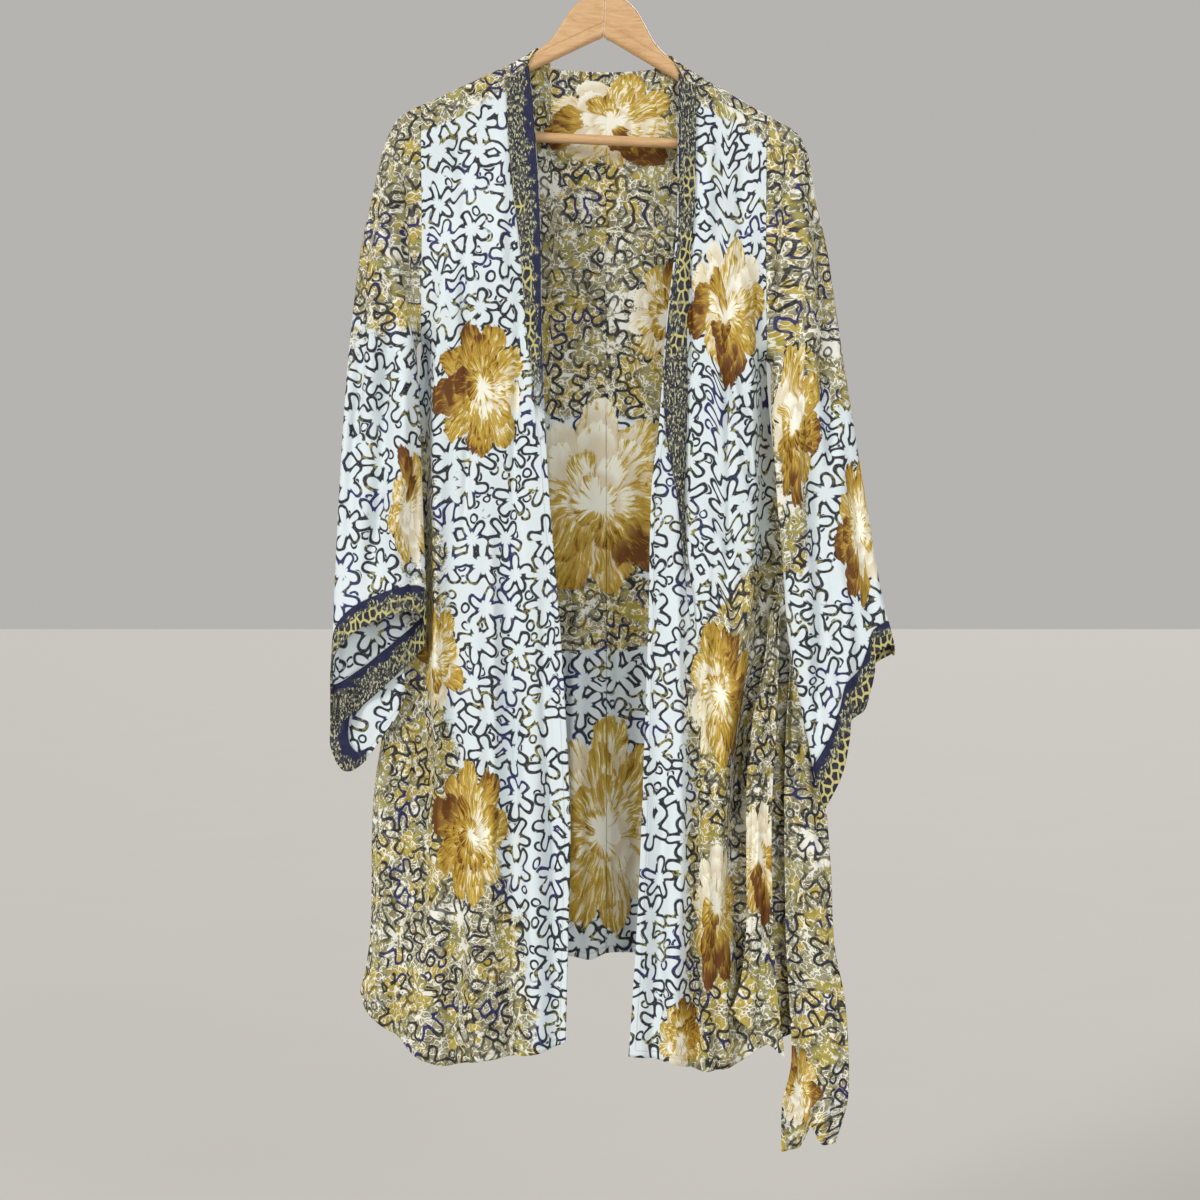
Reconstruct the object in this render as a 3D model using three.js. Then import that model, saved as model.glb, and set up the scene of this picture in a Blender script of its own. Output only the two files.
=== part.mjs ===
// A short open kimono robe of thin printed crepe, hung on a wooden hanger, with its own sash.
// Millimetres, +Z up, the front faces -Y, +X is to the right seen from the front.
// The origin is the inside top of the hanger's hook, where it bears on a rail.
import * as THREE from "three";

// Driving sizes
const WALL = 1.8; // thickness of a cloth wall
const BAND_WALL = 1.2; // thickness of the neck bands
const SEAM_GAP = 0.3; // clear space left at each seam
const TILT = THREE.MathUtils.degToRad(2.6); // the hanger hangs a little down to the right
const OVER_RADIUS = 8; // middle of the cloth where it bends over the hanger
const OVER_FRONT = 20; // arc from the shoulder's top to the forward shoulder seam
const PINCH = WALL / 2 + SEAM_GAP / 2; // distance of a panel's middle from its pair at a side seam
const BODY_DEPTH = 34; // how far the fronts stand forward of the side seams
const BACK_DEPTH = 30; // how far the back stands behind the side seams
const FULL_DEPTH_DROP = 240; // fall below the shoulder at which the full depth is reached
const NECK_EDGE = -143; // height of the back neck's edge
const HOOK_RADIUS = 21.8; // middle of the hook's wire
const HOOK_WIRE = 3.6; // diameter of the hook's wire
const WOOD_HALF = 6; // half thickness of the wooden arms
const BAR_DIAMETER = 11;

// Garment's top line in the hanger's own tilted frame: w outwards, z of the cloth's outer face
const TOP_LINE = [
  { w: 0, z: -60 },
  { w: 30, z: -74 },
  { w: 44, z: -90.5 },
  { w: 56, z: -112 },
  { w: 80, z: -132 },
  { w: 100, z: -145 },
  { w: 142, z: -167 },
  { w: 180, z: -187 },
  { w: 215, z: -205 },
  { w: 235, z: -216 },
];

// Sides of the garment: sign -1 is the wearer's right, seen on the left.
// open = x of the front edge, side = x of the side seam, step = x where the front turns back
const LEFT = {
  sign: -1,
  arm: 205,
  neck: 89,
  underarm: -446,
  open: [
    { z: -130, x: -88 },
    { z: -215, x: -80 },
    { z: -334, x: -73 },
    { z: -432, x: -72 },
    { z: -599, x: -65 },
    { z: -775, x: -51 },
    { z: -962, x: -41 },
    { z: -1049, x: -42 },
    { z: -1128, x: -44 },
    { z: -1230, x: -47 },
  ],
  side: [
    { z: -100, x: 205 },
    { z: -446, x: 205 },
    { z: -650, x: 224 },
    { z: -850, x: 244 },
    { z: -951, x: 258 },
    { z: -1088, x: 261 },
    { z: -1134, x: 266 },
    { z: -1169, x: 274 },
    { z: -1260, x: 276 },
  ],
  step: [
    { z: -100, x: 202, wide: 60 },
    { z: -300, x: 202, wide: 50 },
    { z: -446, x: 202, wide: 18 },
    { z: -900, x: 202, wide: 20 },
    { z: -1040, x: 214, wide: 60 },
    { z: -1260, x: 224, wide: 80 },
  ],
  hem: [
    { u: 0, z: -1212 },
    { u: 0.13, z: -1222 },
    { u: 0.28, z: -1228 },
    { u: 0.46, z: -1232 },
    { u: 0.55, z: -1240 },
    { u: 0.65, z: -1236 },
    { u: 0.74, z: -1225 },
    { u: 0.8, z: -1211 },
    { u: 0.89, z: -1197 },
    { u: 0.96, z: -1182 },
    { u: 1, z: -1160 },
  ],
  folds: [
    { top: -168, low: -170, start: -330, wide: 11, deep: 15 },
    { top: -140, low: -142, start: -420, wide: 12, deep: -8 },
    { top: -112, low: -108, start: -300, wide: 11, deep: 13 },
    { top: -86, low: -78, start: -460, wide: 12, deep: -8 },
    { top: -66, low: -56, start: -620, wide: 8, deep: 6 },
    { top: -196, low: -206, start: -880, wide: 12, deep: -8 },
    { top: -226, low: -232, start: -900, wide: 11, deep: 9 },
  ],
  band: [
    { z: -120, inner: 0, wide: 19 },
    { z: -215, inner: 0, wide: 26 },
    { z: -274, inner: 0, wide: 28 },
    { z: -345, inner: 0, wide: 22 },
    { z: -432, inner: 0, wide: 15 },
    { z: -520, inner: 0, wide: 10 },
    { z: -600, inner: 0, wide: 5 },
  ],
};
const RIGHT = {
  sign: 1,
  arm: 174,
  neck: 79,
  underarm: -468,
  open: [
    { z: -130, x: 77 },
    { z: -269, x: 76 },
    { z: -334, x: 74 },
    { z: -434, x: 63 },
    { z: -542, x: 55 },
    { z: -611, x: 47 },
    { z: -742, x: 44 },
    { z: -951, x: 37 },
    { z: -1069, x: 32 },
    { z: -1186, x: 25 },
    { z: -1240, x: 21 },
  ],
  side: [
    { z: -100, x: 174 },
    { z: -468, x: 174 },
    { z: -650, x: 191 },
    { z: -800, x: 211 },
    { z: -958, x: 231 },
    { z: -1039, x: 239 },
    { z: -1094, x: 244 },
    { z: -1260, x: 246 },
  ],
  step: [
    { z: -100, x: 171, wide: 60 },
    { z: -300, x: 171, wide: 50 },
    { z: -468, x: 171, wide: 18 },
    { z: -731, x: 170, wide: 18 },
    { z: -850, x: 154, wide: 20 },
    { z: -930, x: 143, wide: 22 },
    { z: -1260, x: 148, wide: 24 },
  ],
  hem: [
    { u: 0, z: -1226 },
    { u: 0.2, z: -1232 },
    { u: 0.31, z: -1240 },
    { u: 0.45, z: -1241 },
    { u: 0.58, z: -1233 },
    { u: 0.67, z: -1217 },
    { u: 0.78, z: -1207 },
    { u: 0.88, z: -1196 },
    { u: 0.95, z: -1182 },
    { u: 1, z: -1160 },
  ],
  folds: [
    { top: 118, low: 117, start: -560, wide: 8, deep: 9 },
    { top: 97, low: 92, start: -380, wide: 9, deep: 14 },
    { top: 76, low: 70, start: -560, wide: 9, deep: -7 },
    { top: 60, low: 49, start: -640, wide: 9, deep: 8 },
    { top: 140, low: 108, start: -420, wide: 10, deep: -7 },
    { top: 150, low: 178, start: -980, wide: 11, deep: -9 },
    { top: 200, low: 214, start: -980, wide: 13, deep: -9 },
  ],
  band: [
    { z: -120, inner: 0, wide: 19 },
    { z: -269, inner: 0, wide: 19 },
    { z: -345, inner: 2, wide: 16 },
    { z: -434, inner: 1, wide: 20 },
    { z: -500, inner: 2, wide: 25 },
    { z: -552, inner: 9, wide: 21 },
    { z: -611, inner: 26, wide: 11 },
    { z: -690, inner: 36, wide: 7 },
    { z: -780, inner: 50, wide: 4 },
  ],
};
const BACK_HEM = [
  { x: -290, z: -1136 },
  { x: -150, z: -1134 },
  { x: -43, z: -1128 },
  { x: -20, z: -1131 },
  { x: 0, z: -1124 },
  { x: 28, z: -1125 },
  { x: 150, z: -1134 },
  { x: 290, z: -1136 },
];
const BACK_FOLDS = [
  { top: -150, low: -176, start: -420, wide: 16, deep: -10 },
  { top: -96, low: -112, start: -380, wide: 17, deep: 9 },
  { top: -52, low: -62, start: -520, wide: 14, deep: -8 },
  { top: -16, low: -20, start: -600, wide: 10, deep: 6 },
  { top: 28, low: 30, start: -450, wide: 13, deep: -8 },
  { top: 74, low: 84, start: -420, wide: 15, deep: 9 },
  { top: 120, low: 140, start: -380, wide: 16, deep: -10 },
  { top: 168, low: 196, start: -640, wide: 15, deep: 8 },
];

// Sleeve sections from the armhole to the cuff's edge. o = the outer fold, i = the underarm fold,
// half = half thickness at the middle, front and back = how far the edge rises in front and drops behind
const SLEEVE_LEFT = [
  { ox: -206.4, oz: -187.6, oy: 0, ix: -206.2, iz: -446.5, iy: 0, half: 15, front: 0, back: 0 },
  { ox: -216, oz: -192.2, oy: 0, ix: -208, iz: -448, iy: -1, half: 17, front: 0, back: 0 },
  { ox: -228, oz: -199.5, oy: 0, ix: -209.5, iz: -451, iy: -4, half: 18, front: 0, back: 0 },
  { ox: -238, oz: -214, oy: -1, ix: -210, iz: -455, iy: -8, half: 19, front: 0, back: 0 },
  { ox: -248, oz: -241, oy: -2, ix: -210, iz: -461, iy: -13, half: 20, front: 0, back: 0 },
  { ox: -258, oz: -287, oy: -5, ix: -209, iz: -470, iy: -18, half: 20, front: 0, back: 0 },
  { ox: -270, oz: -345, oy: -9, ix: -208, iz: -484, iy: -23, half: 19, front: 0, back: 0 },
  { ox: -278, oz: -410, oy: -14, ix: -206, iz: -506, iy: -28, half: 18, front: 0, back: 0 },
  { ox: -285, oz: -490, oy: -20, ix: -204, iz: -545, iy: -33, half: 16, front: 0, back: 0 },
  { ox: -290, oz: -575, oy: -26, ix: -202, iz: -600, iy: -36, half: 15, front: 0, back: 0 },
  { ox: -294, oz: -660, oy: -30, ix: -200, iz: -652, iy: -38, half: 15, front: 6, back: 4 },
  { ox: -297, oz: -740, oy: -32, ix: -198, iz: -702, iy: -39, half: 16, front: 24, back: 16 },
  { ox: -299, oz: -818, oy: -33, ix: -197, iz: -742, iy: -40, half: 17, front: 74, back: 78 },
  { ox: -301, oz: -866, oy: -33, ix: -198, iz: -778, iy: -40, half: 18, front: 92, back: 88 },
];
const SLEEVE_RIGHT = [
  { ox: 175.4, oz: -197.9, oy: 0, ix: 175.2, iz: -468.5, iy: 0, half: 15, front: 0, back: 0 },
  { ox: 187, oz: -204.6, oy: 0, ix: 177, iz: -470, iy: -1, half: 17, front: 0, back: 0 },
  { ox: 201, oz: -212.4, oy: 0, ix: 178.5, iz: -473, iy: -4, half: 18, front: 0, back: 0 },
  { ox: 212, oz: -224, oy: -1, ix: 179, iz: -477, iy: -8, half: 19, front: 0, back: 0 },
  { ox: 221, oz: -248, oy: -2, ix: 179, iz: -483, iy: -13, half: 20, front: 0, back: 0 },
  { ox: 228, oz: -293, oy: -5, ix: 178, iz: -492, iy: -18, half: 20, front: 0, back: 0 },
  { ox: 240, oz: -350, oy: -10, ix: 178, iz: -506, iy: -23, half: 19, front: 0, back: 0 },
  { ox: 251, oz: -430, oy: -15, ix: 178, iz: -532, iy: -29, half: 18, front: 0, back: 0 },
  { ox: 263, oz: -512, oy: -20, ix: 180, iz: -576, iy: -34, half: 16, front: 0, back: 0 },
  { ox: 275, oz: -592, oy: -26, ix: 184, iz: -632, iy: -38, half: 15, front: 0, back: 0 },
  { ox: 286, oz: -662, oy: -31, ix: 190, iz: -702, iy: -41, half: 15, front: 0, back: 0 },
  { ox: 295, oz: -718, oy: -34, ix: 196, iz: -778, iy: -43, half: 15, front: 2, back: 3 },
  { ox: 304, oz: -766, oy: -36, ix: 221, iz: -912, iy: -44, half: 15, front: 36, back: -20 },
  { ox: 310, oz: -800, oy: -36, ix: 233, iz: -962, iy: -44, half: 15, front: 50, back: -32 },
];
const OUTER_ROUND = OVER_RADIUS; // radius of the sleeve's outer fold
const CUFF_FROM = 0.925; // share of the sleeve's rows at which the cuff band is sewn on
const CUFF_GAP = 0.8; // gap there, square to the seam
const MOST_SHIFT = 9; // furthest that a point moves for it

const LOOP_X = 195; // where the belt loop stands on the side seam and the sash's two ends meet
// Sash ends from the belt loop down. a = the edge that starts on top, b = the edge that starts below
const SASH_SHORT = [
  { ax: LOOP_X, az: -722, bx: LOOP_X, bz: -742, y: -8, fold: 0 },
  { ax: 185, az: -725, bx: 189, bz: -749, y: -9, fold: 1 },
  { ax: 177, az: -742, bx: 188, bz: -765, y: -11, fold: 2 },
  { ax: 172, az: -790, bx: 187, bz: -795, y: -15, fold: 3 },
  { ax: 158, az: -862, bx: 184, bz: -862, y: -19, fold: 4 },
  { ax: 151, az: -940, bx: 179, bz: -940, y: -22, fold: 5 },
  { ax: 151, az: -1020, bx: 178, bz: -1020, y: -25, fold: 6 },
  { ax: 150, az: -1100, bx: 180, bz: -1100, y: -27, fold: 6 },
  { ax: 142, az: -1156, bx: 184, bz: -1160, y: -28, fold: 5 },
  { ax: 131, az: -1179, bx: 192, bz: -1228, y: -29, fold: 4 },
];
const SASH_LONG = [
  { ax: LOOP_X + 0.6, az: -722, bx: LOOP_X + 0.6, bz: -742, y: -8, fold: 0 },
  { ax: 212, az: -727, bx: 207, bz: -751, y: -9, fold: 1 },
  { ax: 219, az: -752, bx: 203, bz: -768, y: -9, fold: 2 },
  { ax: 224, az: -800, bx: 200, bz: -802, y: -9.5, fold: 2.5 },
  { ax: 232, az: -870, bx: 195, bz: -870, y: -10.5, fold: 3 },
  { ax: 238, az: -945, bx: 193, bz: -945, y: -13, fold: 4 },
  { ax: 244, az: -1030, bx: 193, bz: -1030, y: -17, fold: 6 },
  { ax: 247, az: -1105, bx: 194, bz: -1105, y: -21, fold: 7 },
  { ax: 258, az: -1165, bx: 197, bz: -1165, y: -24, fold: 8 },
  { ax: 262, az: -1225, bx: 199, bz: -1232, y: -26, fold: 8 },
  { ax: 261, az: -1275, bx: 189, bz: -1280, y: -27, fold: 7 },
  { ax: 247, az: -1322, bx: 188, bz: -1330, y: -28, fold: 6 },
];

// Wooden arm in the hanger's frame: top and low edge of the wood, w outwards from the middle joint
const ARM = [
  { w: 0.2, top: -62, low: -112 },
  { w: 12, top: -63, low: -118 },
  { w: 25, top: -71, low: -125 },
  { w: 36, top: -81, low: -131 },
  { w: 44, top: -94, low: -135 },
  { w: 55, top: -114, low: -141 },
  { w: 66, top: -125, low: -146.5 },
  { w: 80, top: -136.3, low: -154 },
  { w: 100, top: -147.9, low: -167 },
  { w: 142, top: -169.7, low: -189 },
  { w: 180, top: -189.9, low: -209 },
  { w: 180.3, top: -190.1, low: -238 },
  { w: 196, top: -198.5, low: -240 },
  { w: 199, top: -204, low: -236 },
];
const BAR_HEIGHT = -225;
const BAR_HALF = 179.9; // half length, up to the feet of the arms

const mix = THREE.MathUtils.lerp;
function smooth(from, to, value) {
  const t = THREE.MathUtils.clamp((value - from) / (to - from), 0, 1);
  return t * t * (3 - 2 * t);
}

// Smooth reading of a table's column at a value of its key column, which rises or falls
function read(table, key, value, column) {
  const last = table.length - 1;
  const rising = table[last][key] > table[0][key];
  const inOrder = rising ? table : [...table].reverse();
  if (value <= inOrder[0][key]) return inOrder[0][column];
  if (value >= inOrder[last][key]) return inOrder[last][column];
  let at = 0;
  while (inOrder[at + 1][key] < value) at += 1;
  const slope = (n) => {
    const before = inOrder[Math.max(n - 1, 0)];
    const after = inOrder[Math.min(n + 1, last)];
    return (after[column] - before[column]) / (after[key] - before[key]);
  };
  const low = inOrder[at];
  const high = inOrder[at + 1];
  const span = high[key] - low[key];
  const t = (value - low[key]) / span;
  const t2 = t * t;
  const t3 = t2 * t;
  return (
    (2 * t3 - 3 * t2 + 1) * low[column] +
    (t3 - 2 * t2 + t) * span * slope(at) +
    (3 * t2 - 2 * t3) * high[column] +
    (t3 - t2) * span * slope(at + 1)
  );
}

// Height of the garment's top line at x, with the hanger's tilt
function topLine(x) {
  let w = x;
  for (let turn = 0; turn < 5; turn += 1) {
    w = (x - read(TOP_LINE, "w", Math.abs(w), "z") * Math.sin(TILT)) / Math.cos(TILT);
  }
  return read(TOP_LINE, "w", Math.abs(w), "z") * Math.cos(TILT) - w * Math.sin(TILT) - WALL / 2;
}

// Depth of a side's edge at a height: the armhole above the underarm, the seam below it
function armDepth(side, x, z) {
  const top = topLine(x);
  const half = (top - side.underarm) / 2;
  return ringDepth(top - z, half, 15, OVER_RADIUS, PINCH);
}

// Half thickness of a flat closed section at a distance from its outer fold
function ringDepth(distance, half, middle, outerRound, underEnd) {
  const fromOuter = Math.min(Math.max(distance, 0), 2 * half);
  const fromUnder = 2 * half - fromOuter;
  const start = Math.min(fromOuter / outerRound, 1);
  const body = mix(outerRound, middle, smooth(outerRound, 60, fromOuter));
  const end = Math.min(fromUnder / 30, 1);
  return Math.max(body * Math.sqrt(start * (2 - start)) * Math.sqrt(end * (2 - end)), underEnd);
}

// Sum of the soft folds of a panel at x and z; each follows a straight line and deepens downwards
function foldDepth(folds, x, z) {
  let sum = 0;
  for (const fold of folds) {
    const fall = (fold.start - z) / (fold.start + 1230);
    if (fall <= 0) continue;
    const middle = mix(fold.top, fold.low, fall);
    sum += fold.deep * smooth(0, 1, fall) * Math.exp(-(((x - middle) / fold.wide) ** 2));
  }
  return sum;
}

// y of the front's middle surface
function frontY(side, x, z) {
  const fromEdge = read(side.side, "z", z, "x") - Math.abs(x);
  const fall = topLine(x) - OVER_RADIUS - z;
  const full = mix(OVER_RADIUS, BODY_DEPTH, smooth(0, FULL_DEPTH_DROP, fall));
  const edge = armDepth(side, x, z);
  const below = smooth(side.underarm, side.underarm - 60, z);
  const strip = mix(edge, 2.2, below * smooth(0, 14, fromEdge));
  const wide = read(side.step, "z", z, "wide");
  const turn = smooth(0, wide, read(side.step, "z", z, "x") - Math.abs(x));
  const lift = 8 * smooth(-960, -1150, z) * smooth(0, 40, fromEdge) * (1 - turn);
  const soft = smooth(2, 20, fromEdge);
  return -mix(strip, full, turn) - lift + soft * foldDepth(side.folds, x, z);
}

// y of the back's middle surface
function backY(side, x, z) {
  const fromEdge = read(side.side, "z", z, "x") - Math.abs(x);
  const fall = topLine(x) - OVER_RADIUS - z;
  const full = mix(OVER_RADIUS, BACK_DEPTH, smooth(0, FULL_DEPTH_DROP, fall));
  const edge = armDepth(side, x, z);
  const soft = smooth(2, 30, fromEdge);
  return mix(edge, full, smooth(0, 60, fromEdge)) - soft * foldDepth(BACK_FOLDS, x, z);
}

// Grid of middle points with the surface's normals; wrap joins the last column to the first
function makeGrid(columns, rows, point, wrap = false) {
  const points = rows.map((v) => columns.map((u) => point(u, v)));
  const count = columns.length;
  const column = (n) => (wrap ? (n + count) % count : THREE.MathUtils.clamp(n, 0, count - 1));
  const at = (u, v) => points[THREE.MathUtils.clamp(v, 0, rows.length - 1)][column(u)];
  const normals = points.map((row, v) =>
    row.map((here, u) => {
      const alongU = at(u + 1, v).clone().sub(at(u - 1, v));
      const alongV = at(u, v + 1).clone().sub(at(u, v - 1));
      return alongU.cross(alongV).normalize();
    }),
  );
  return { points, normals, wrap };
}

// Rectangle of a grid, by first and last column and row, moved out along the normals
function piece(grid, box, out = 0) {
  const cut = (table) =>
    table.slice(box.row, box.lastRow + 1).map((row) => row.slice(box.column, box.lastColumn + 1));
  const normals = cut(grid.normals);
  const points = cut(grid.points).map((row, v) =>
    row.map((here, u) => here.clone().addScaledVector(normals[v][u], out)),
  );
  return { points, normals, wrap: grid.wrap };
}

// A closed wall of even thickness about a grid
function wallOf(grid, thickness) {
  const down = grid.points.length;
  const across = grid.points[0].length;
  const positions = [];
  for (const face of [0.5, -0.5]) {
    grid.points.forEach((row, v) =>
      row.forEach((here, u) => {
        const moved = here.clone().addScaledVector(grid.normals[v][u], face * thickness);
        positions.push(...moved.toArray());
      }),
    );
  }
  const faces = [];
  const quad = (a, b, c, d) => faces.push(a, b, c, a, c, d);
  const inner = across * down;
  const id = (u, v) => v * across + (u % across);
  const spans = grid.wrap ? across : across - 1;
  for (let v = 0; v < down - 1; v += 1) {
    for (let u = 0; u < spans; u += 1) {
      const [a, b, c, d] = [id(u, v), id(u + 1, v), id(u + 1, v + 1), id(u, v + 1)];
      quad(a, b, c, d);
      quad(inner + d, inner + c, inner + b, inner + a);
    }
  }
  for (let u = 0; u < spans; u += 1) {
    const [a, b] = [id(u, 0), id(u + 1, 0)];
    quad(b, a, inner + a, inner + b);
    const [c, d] = [id(u, down - 1), id(u + 1, down - 1)];
    quad(c, d, inner + d, inner + c);
  }
  for (let v = 0; v < down - 1 && !grid.wrap; v += 1) {
    const [a, b] = [id(0, v), id(0, v + 1)];
    quad(a, b, inner + b, inner + a);
    const [c, d] = [id(across - 1, v), id(across - 1, v + 1)];
    quad(d, c, inner + c, inner + d);
  }
  const geometry = new THREE.BufferGeometry();
  geometry.setAttribute("position", new THREE.Float32BufferAttribute(positions, 3));
  geometry.setIndex(faces);
  return geometry;
}

const steps = (count, from = 0, to = 1) =>
  Array.from({ length: count + 1 }, (_, n) => mix(from, to, n / count));

// Turns a closed geometry's faces outwards if its volume comes out negative
function facingOut(geometry) {
  const p = geometry.getAttribute("position");
  const index = geometry.getIndex();
  const corner = (n) => new THREE.Vector3().fromBufferAttribute(p, index.getX(n));
  let volume = 0;
  for (let n = 0; n < index.count; n += 3) {
    volume += corner(n).dot(corner(n + 1).cross(corner(n + 2)));
  }
  if (volume < 0) {
    for (let n = 0; n < index.count; n += 3) {
      const keep = index.getX(n);
      index.setX(n, index.getX(n + 1));
      index.setX(n + 1, keep);
    }
  }
  geometry.computeVertexNormals();
  return geometry;
}

// Grid of a front: columns run from the opening over the neck band's strip to the side seam,
// rows from the forward shoulder seam to the hem
const BAND_COLUMNS = 3;
const FRONT_COLUMNS = 19;
const FRONT_ROWS = 18;
function frontGrid(side) {
  const quarter = (OVER_RADIUS * Math.PI) / 2;
  const columns = steps(FRONT_COLUMNS, 0, FRONT_COLUMNS);
  return makeGrid(columns, steps(FRONT_ROWS), (column, v) => {
    let z = mix(-150, -1230, v);
    let x = 0;
    for (let turn = 0; turn < 5; turn += 1) {
      const open = read(side.open, "z", z, "x");
      const edge = side.sign * read(side.side, "z", z, "x");
      const inner = side.sign * Math.max(read(side.band, "z", z, "inner"), 1.4);
      const outer = inner + side.sign * read(side.band, "z", z, "wide");
      const past = (column - 1 - BAND_COLUMNS) / (FRONT_COLUMNS - 1 - BAND_COLUMNS);
      if (column === 0) x = open;
      else if (past <= 0) x = open + mix(inner, outer, (column - 1) / BAND_COLUMNS);
      else x = mix(open + outer, edge, past);
      const share = (x - open) / (edge - open);
      const high = topLine(x) - OVER_RADIUS - (OVER_FRONT - quarter) - SEAM_GAP;
      z = mix(high, read(side.hem, "u", share, "z"), v);
    }
    return new THREE.Vector3(x, frontY(side, x, z), z);
  });
}

// Point of the back at x and an arc measured from the shoulder's top, negative on the front
function backPoint(side, x, arc) {
  const quarter = (OVER_RADIUS * Math.PI) / 2;
  const top = topLine(x);
  if (Math.abs(arc) <= quarter) {
    const angle = arc / OVER_RADIUS;
    const y = OVER_RADIUS * Math.sin(angle);
    return new THREE.Vector3(x, y, top - OVER_RADIUS * (1 - Math.cos(angle)));
  }
  const z = top - OVER_RADIUS - (Math.abs(arc) - quarter);
  const y = arc < 0 ? frontY(side, x, z) : backY(side, x, z);
  return new THREE.Vector3(x, y, z);
}

// Arc at which the back starts: the forward seam, or the neck's edge between the shoulders.
// The neckline crosses the shoulder's top within the width of the arch.
function backStart(side, x) {
  const quarter = (OVER_RADIUS * Math.PI) / 2;
  const dip = 4 * Math.cos((Math.PI * x) / 160);
  const neck = quarter + topLine(x) - OVER_RADIUS - (NECK_EDGE - dip);
  const inward = side.neck - Math.abs(x);
  if (inward <= 0) return -OVER_FRONT;
  if (inward <= NECK_FRONT) return mix(-OVER_FRONT, -quarter, inward / NECK_FRONT);
  if (inward <= NECK_ARCH) {
    return mix(-quarter, quarter, (inward - NECK_FRONT) / (NECK_ARCH - NECK_FRONT));
  }
  return mix(quarter, neck, Math.min((inward - NECK_ARCH) / (NECK_BACK - NECK_ARCH), 1));
}

// Grid of half of the back: columns run from the centre seam to the side, rows from top to hem
const CENTRE_BACK = -3;
const NECK_FRONT = 4; // widths of the neckline's stretches on the front, over the top and behind
const NECK_ARCH = 18;
const NECK_BACK = 28;
function backGrid(side) {
  const quarter = (OVER_RADIUS * Math.PI) / 2;
  const centre = CENTRE_BACK + side.sign * (SEAM_GAP / 2 + 0.05);
  const inwards = [0, ...steps(8, NECK_FRONT, NECK_ARCH), NECK_BACK];
  const near = inwards.map((inward) => side.neck - inward).reverse();
  const shares = [
    ...steps(3, 0, near[0]).slice(0, 3),
    ...near,
    ...steps(8, side.neck, side.arm).slice(1),
  ].map((x) => (x === 0 ? 0 : (x * side.sign - centre) / (side.sign * side.arm - centre)));
  const overRows = 9;
  const lowRows = 10;
  return makeGrid(shares, steps(overRows + lowRows, 0, overRows + lowRows), (share, row) => {
    const xTop = mix(centre, side.sign * side.arm, share);
    const start = backStart(side, xTop);
    const turned = Math.max(start, 0) + quarter + 12;
    if (row <= overRows) return backPoint(side, xTop, mix(start, turned, row / overRows));
    const high = backPoint(side, xTop, turned).z;
    const t = (row - overRows) / lowRows;
    let z = mix(high, -1130, t);
    let x = xTop;
    for (let turn = 0; turn < 4; turn += 1) {
      x = mix(centre, side.sign * read(side.side, "z", z, "x"), share);
      z = mix(high, read(BACK_HEM, "x", x, "z"), t);
    }
    return new THREE.Vector3(x, backY(side, x, z), z);
  });
}

// Point of a sleeve: around 0 to 1 from the outer fold over the front to the underarm fold and back
function sleevePoint(table, around, along) {
  const rows = table.map((row, n) => ({ ...row, n: n / (table.length - 1) }));
  const get = (column) => read(rows, "n", along, column);
  const outer = new THREE.Vector3(get("ox"), get("oy"), get("oz"));
  const under = new THREE.Vector3(get("ix"), get("iy"), get("iz"));
  const angle = around * 2 * Math.PI;
  const share = (1 - Math.cos(angle)) / 2;
  const half = outer.distanceTo(under) / 2;
  const facing = Math.sin(angle) >= 0 ? -1 : 1;
  const round = mix(OUTER_ROUND, 9, smooth(0.3, 0.6, along));
  const depth = ringDepth(share * 2 * half, half, get("half"), round, 0);
  const point = outer.clone().lerp(under, share);
  const edge = Math.abs(Math.sin(angle)) ** 0.7;
  const ease = mix(1, 0.5, share);
  const rise = facing < 0 ? get("front") : -get("back");
  point.z += rise * edge * ease;
  const wave = smooth(0.3, 1, along) * Math.abs(Math.sin(angle));
  const ripple = 3.5 * wave * Math.sin(share * 13 + along * 3 + facing);
  point.y += facing * depth + ripple;
  return point;
}

// Grid of a whole sleeve; its last rows, past the seam, are the cuff band
const SLEEVE_COLUMNS = 28;
const SLEEVE_ROWS = 13;
const CUFF_ROWS = 2;
function sleeveGrid(table) {
  const columns = steps(SLEEVE_COLUMNS).slice(0, SLEEVE_COLUMNS);
  const rows = [...steps(SLEEVE_ROWS, 0, CUFF_FROM), ...steps(CUFF_ROWS, CUFF_FROM, 1).slice(1)];
  return makeGrid(columns, rows, (u, v) => sleevePoint(table, u, v), true);
}

// One end of the sash: a strip with lengthwise folds; notch raises the middle of its lower edge
function sashEnd(table, notch) {
  const rows = table.map((row, n) => ({ ...row, n: n / (table.length - 1) }));
  const grid = makeGrid(steps(9), steps(16), (u, v) => {
    const get = (column) => read(rows, "n", v, column);
    const x = mix(get("ax"), get("bx"), u);
    const lift = notch * smooth(0.8, 1, v) * Math.exp(-(((u - 0.45) / 0.12) ** 2));
    const z = mix(get("az"), get("bz"), u) + lift;
    const y = get("y") + get("fold") * 0.5 * Math.sin(u * 9 + v * 2);
    return new THREE.Vector3(x, y, z);
  });
  return wallOf(grid, WALL);
}

// Small loop of the robe's cloth at the side seam, through which the sash passes
function beltLoop() {
  const x = LOOP_X + 0.3;
  const path = new THREE.CatmullRomCurve3([
    new THREE.Vector3(x, -3, -712),
    new THREE.Vector3(x, -8, -713.5),
    new THREE.Vector3(x, -12.2, -719),
    new THREE.Vector3(x, -12.2, -739),
    new THREE.Vector3(x, -8, -745.6),
    new THREE.Vector3(x, -3.6, -746.4),
  ]);
  const section = new THREE.Shape();
  section.absellipse(0, 0, 1.5, 1.5, 0, 2 * Math.PI);
  return new THREE.ExtrudeGeometry(section, {
    extrudePath: path,
    steps: 12,
    curveSegments: 3,
  });
}

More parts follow.
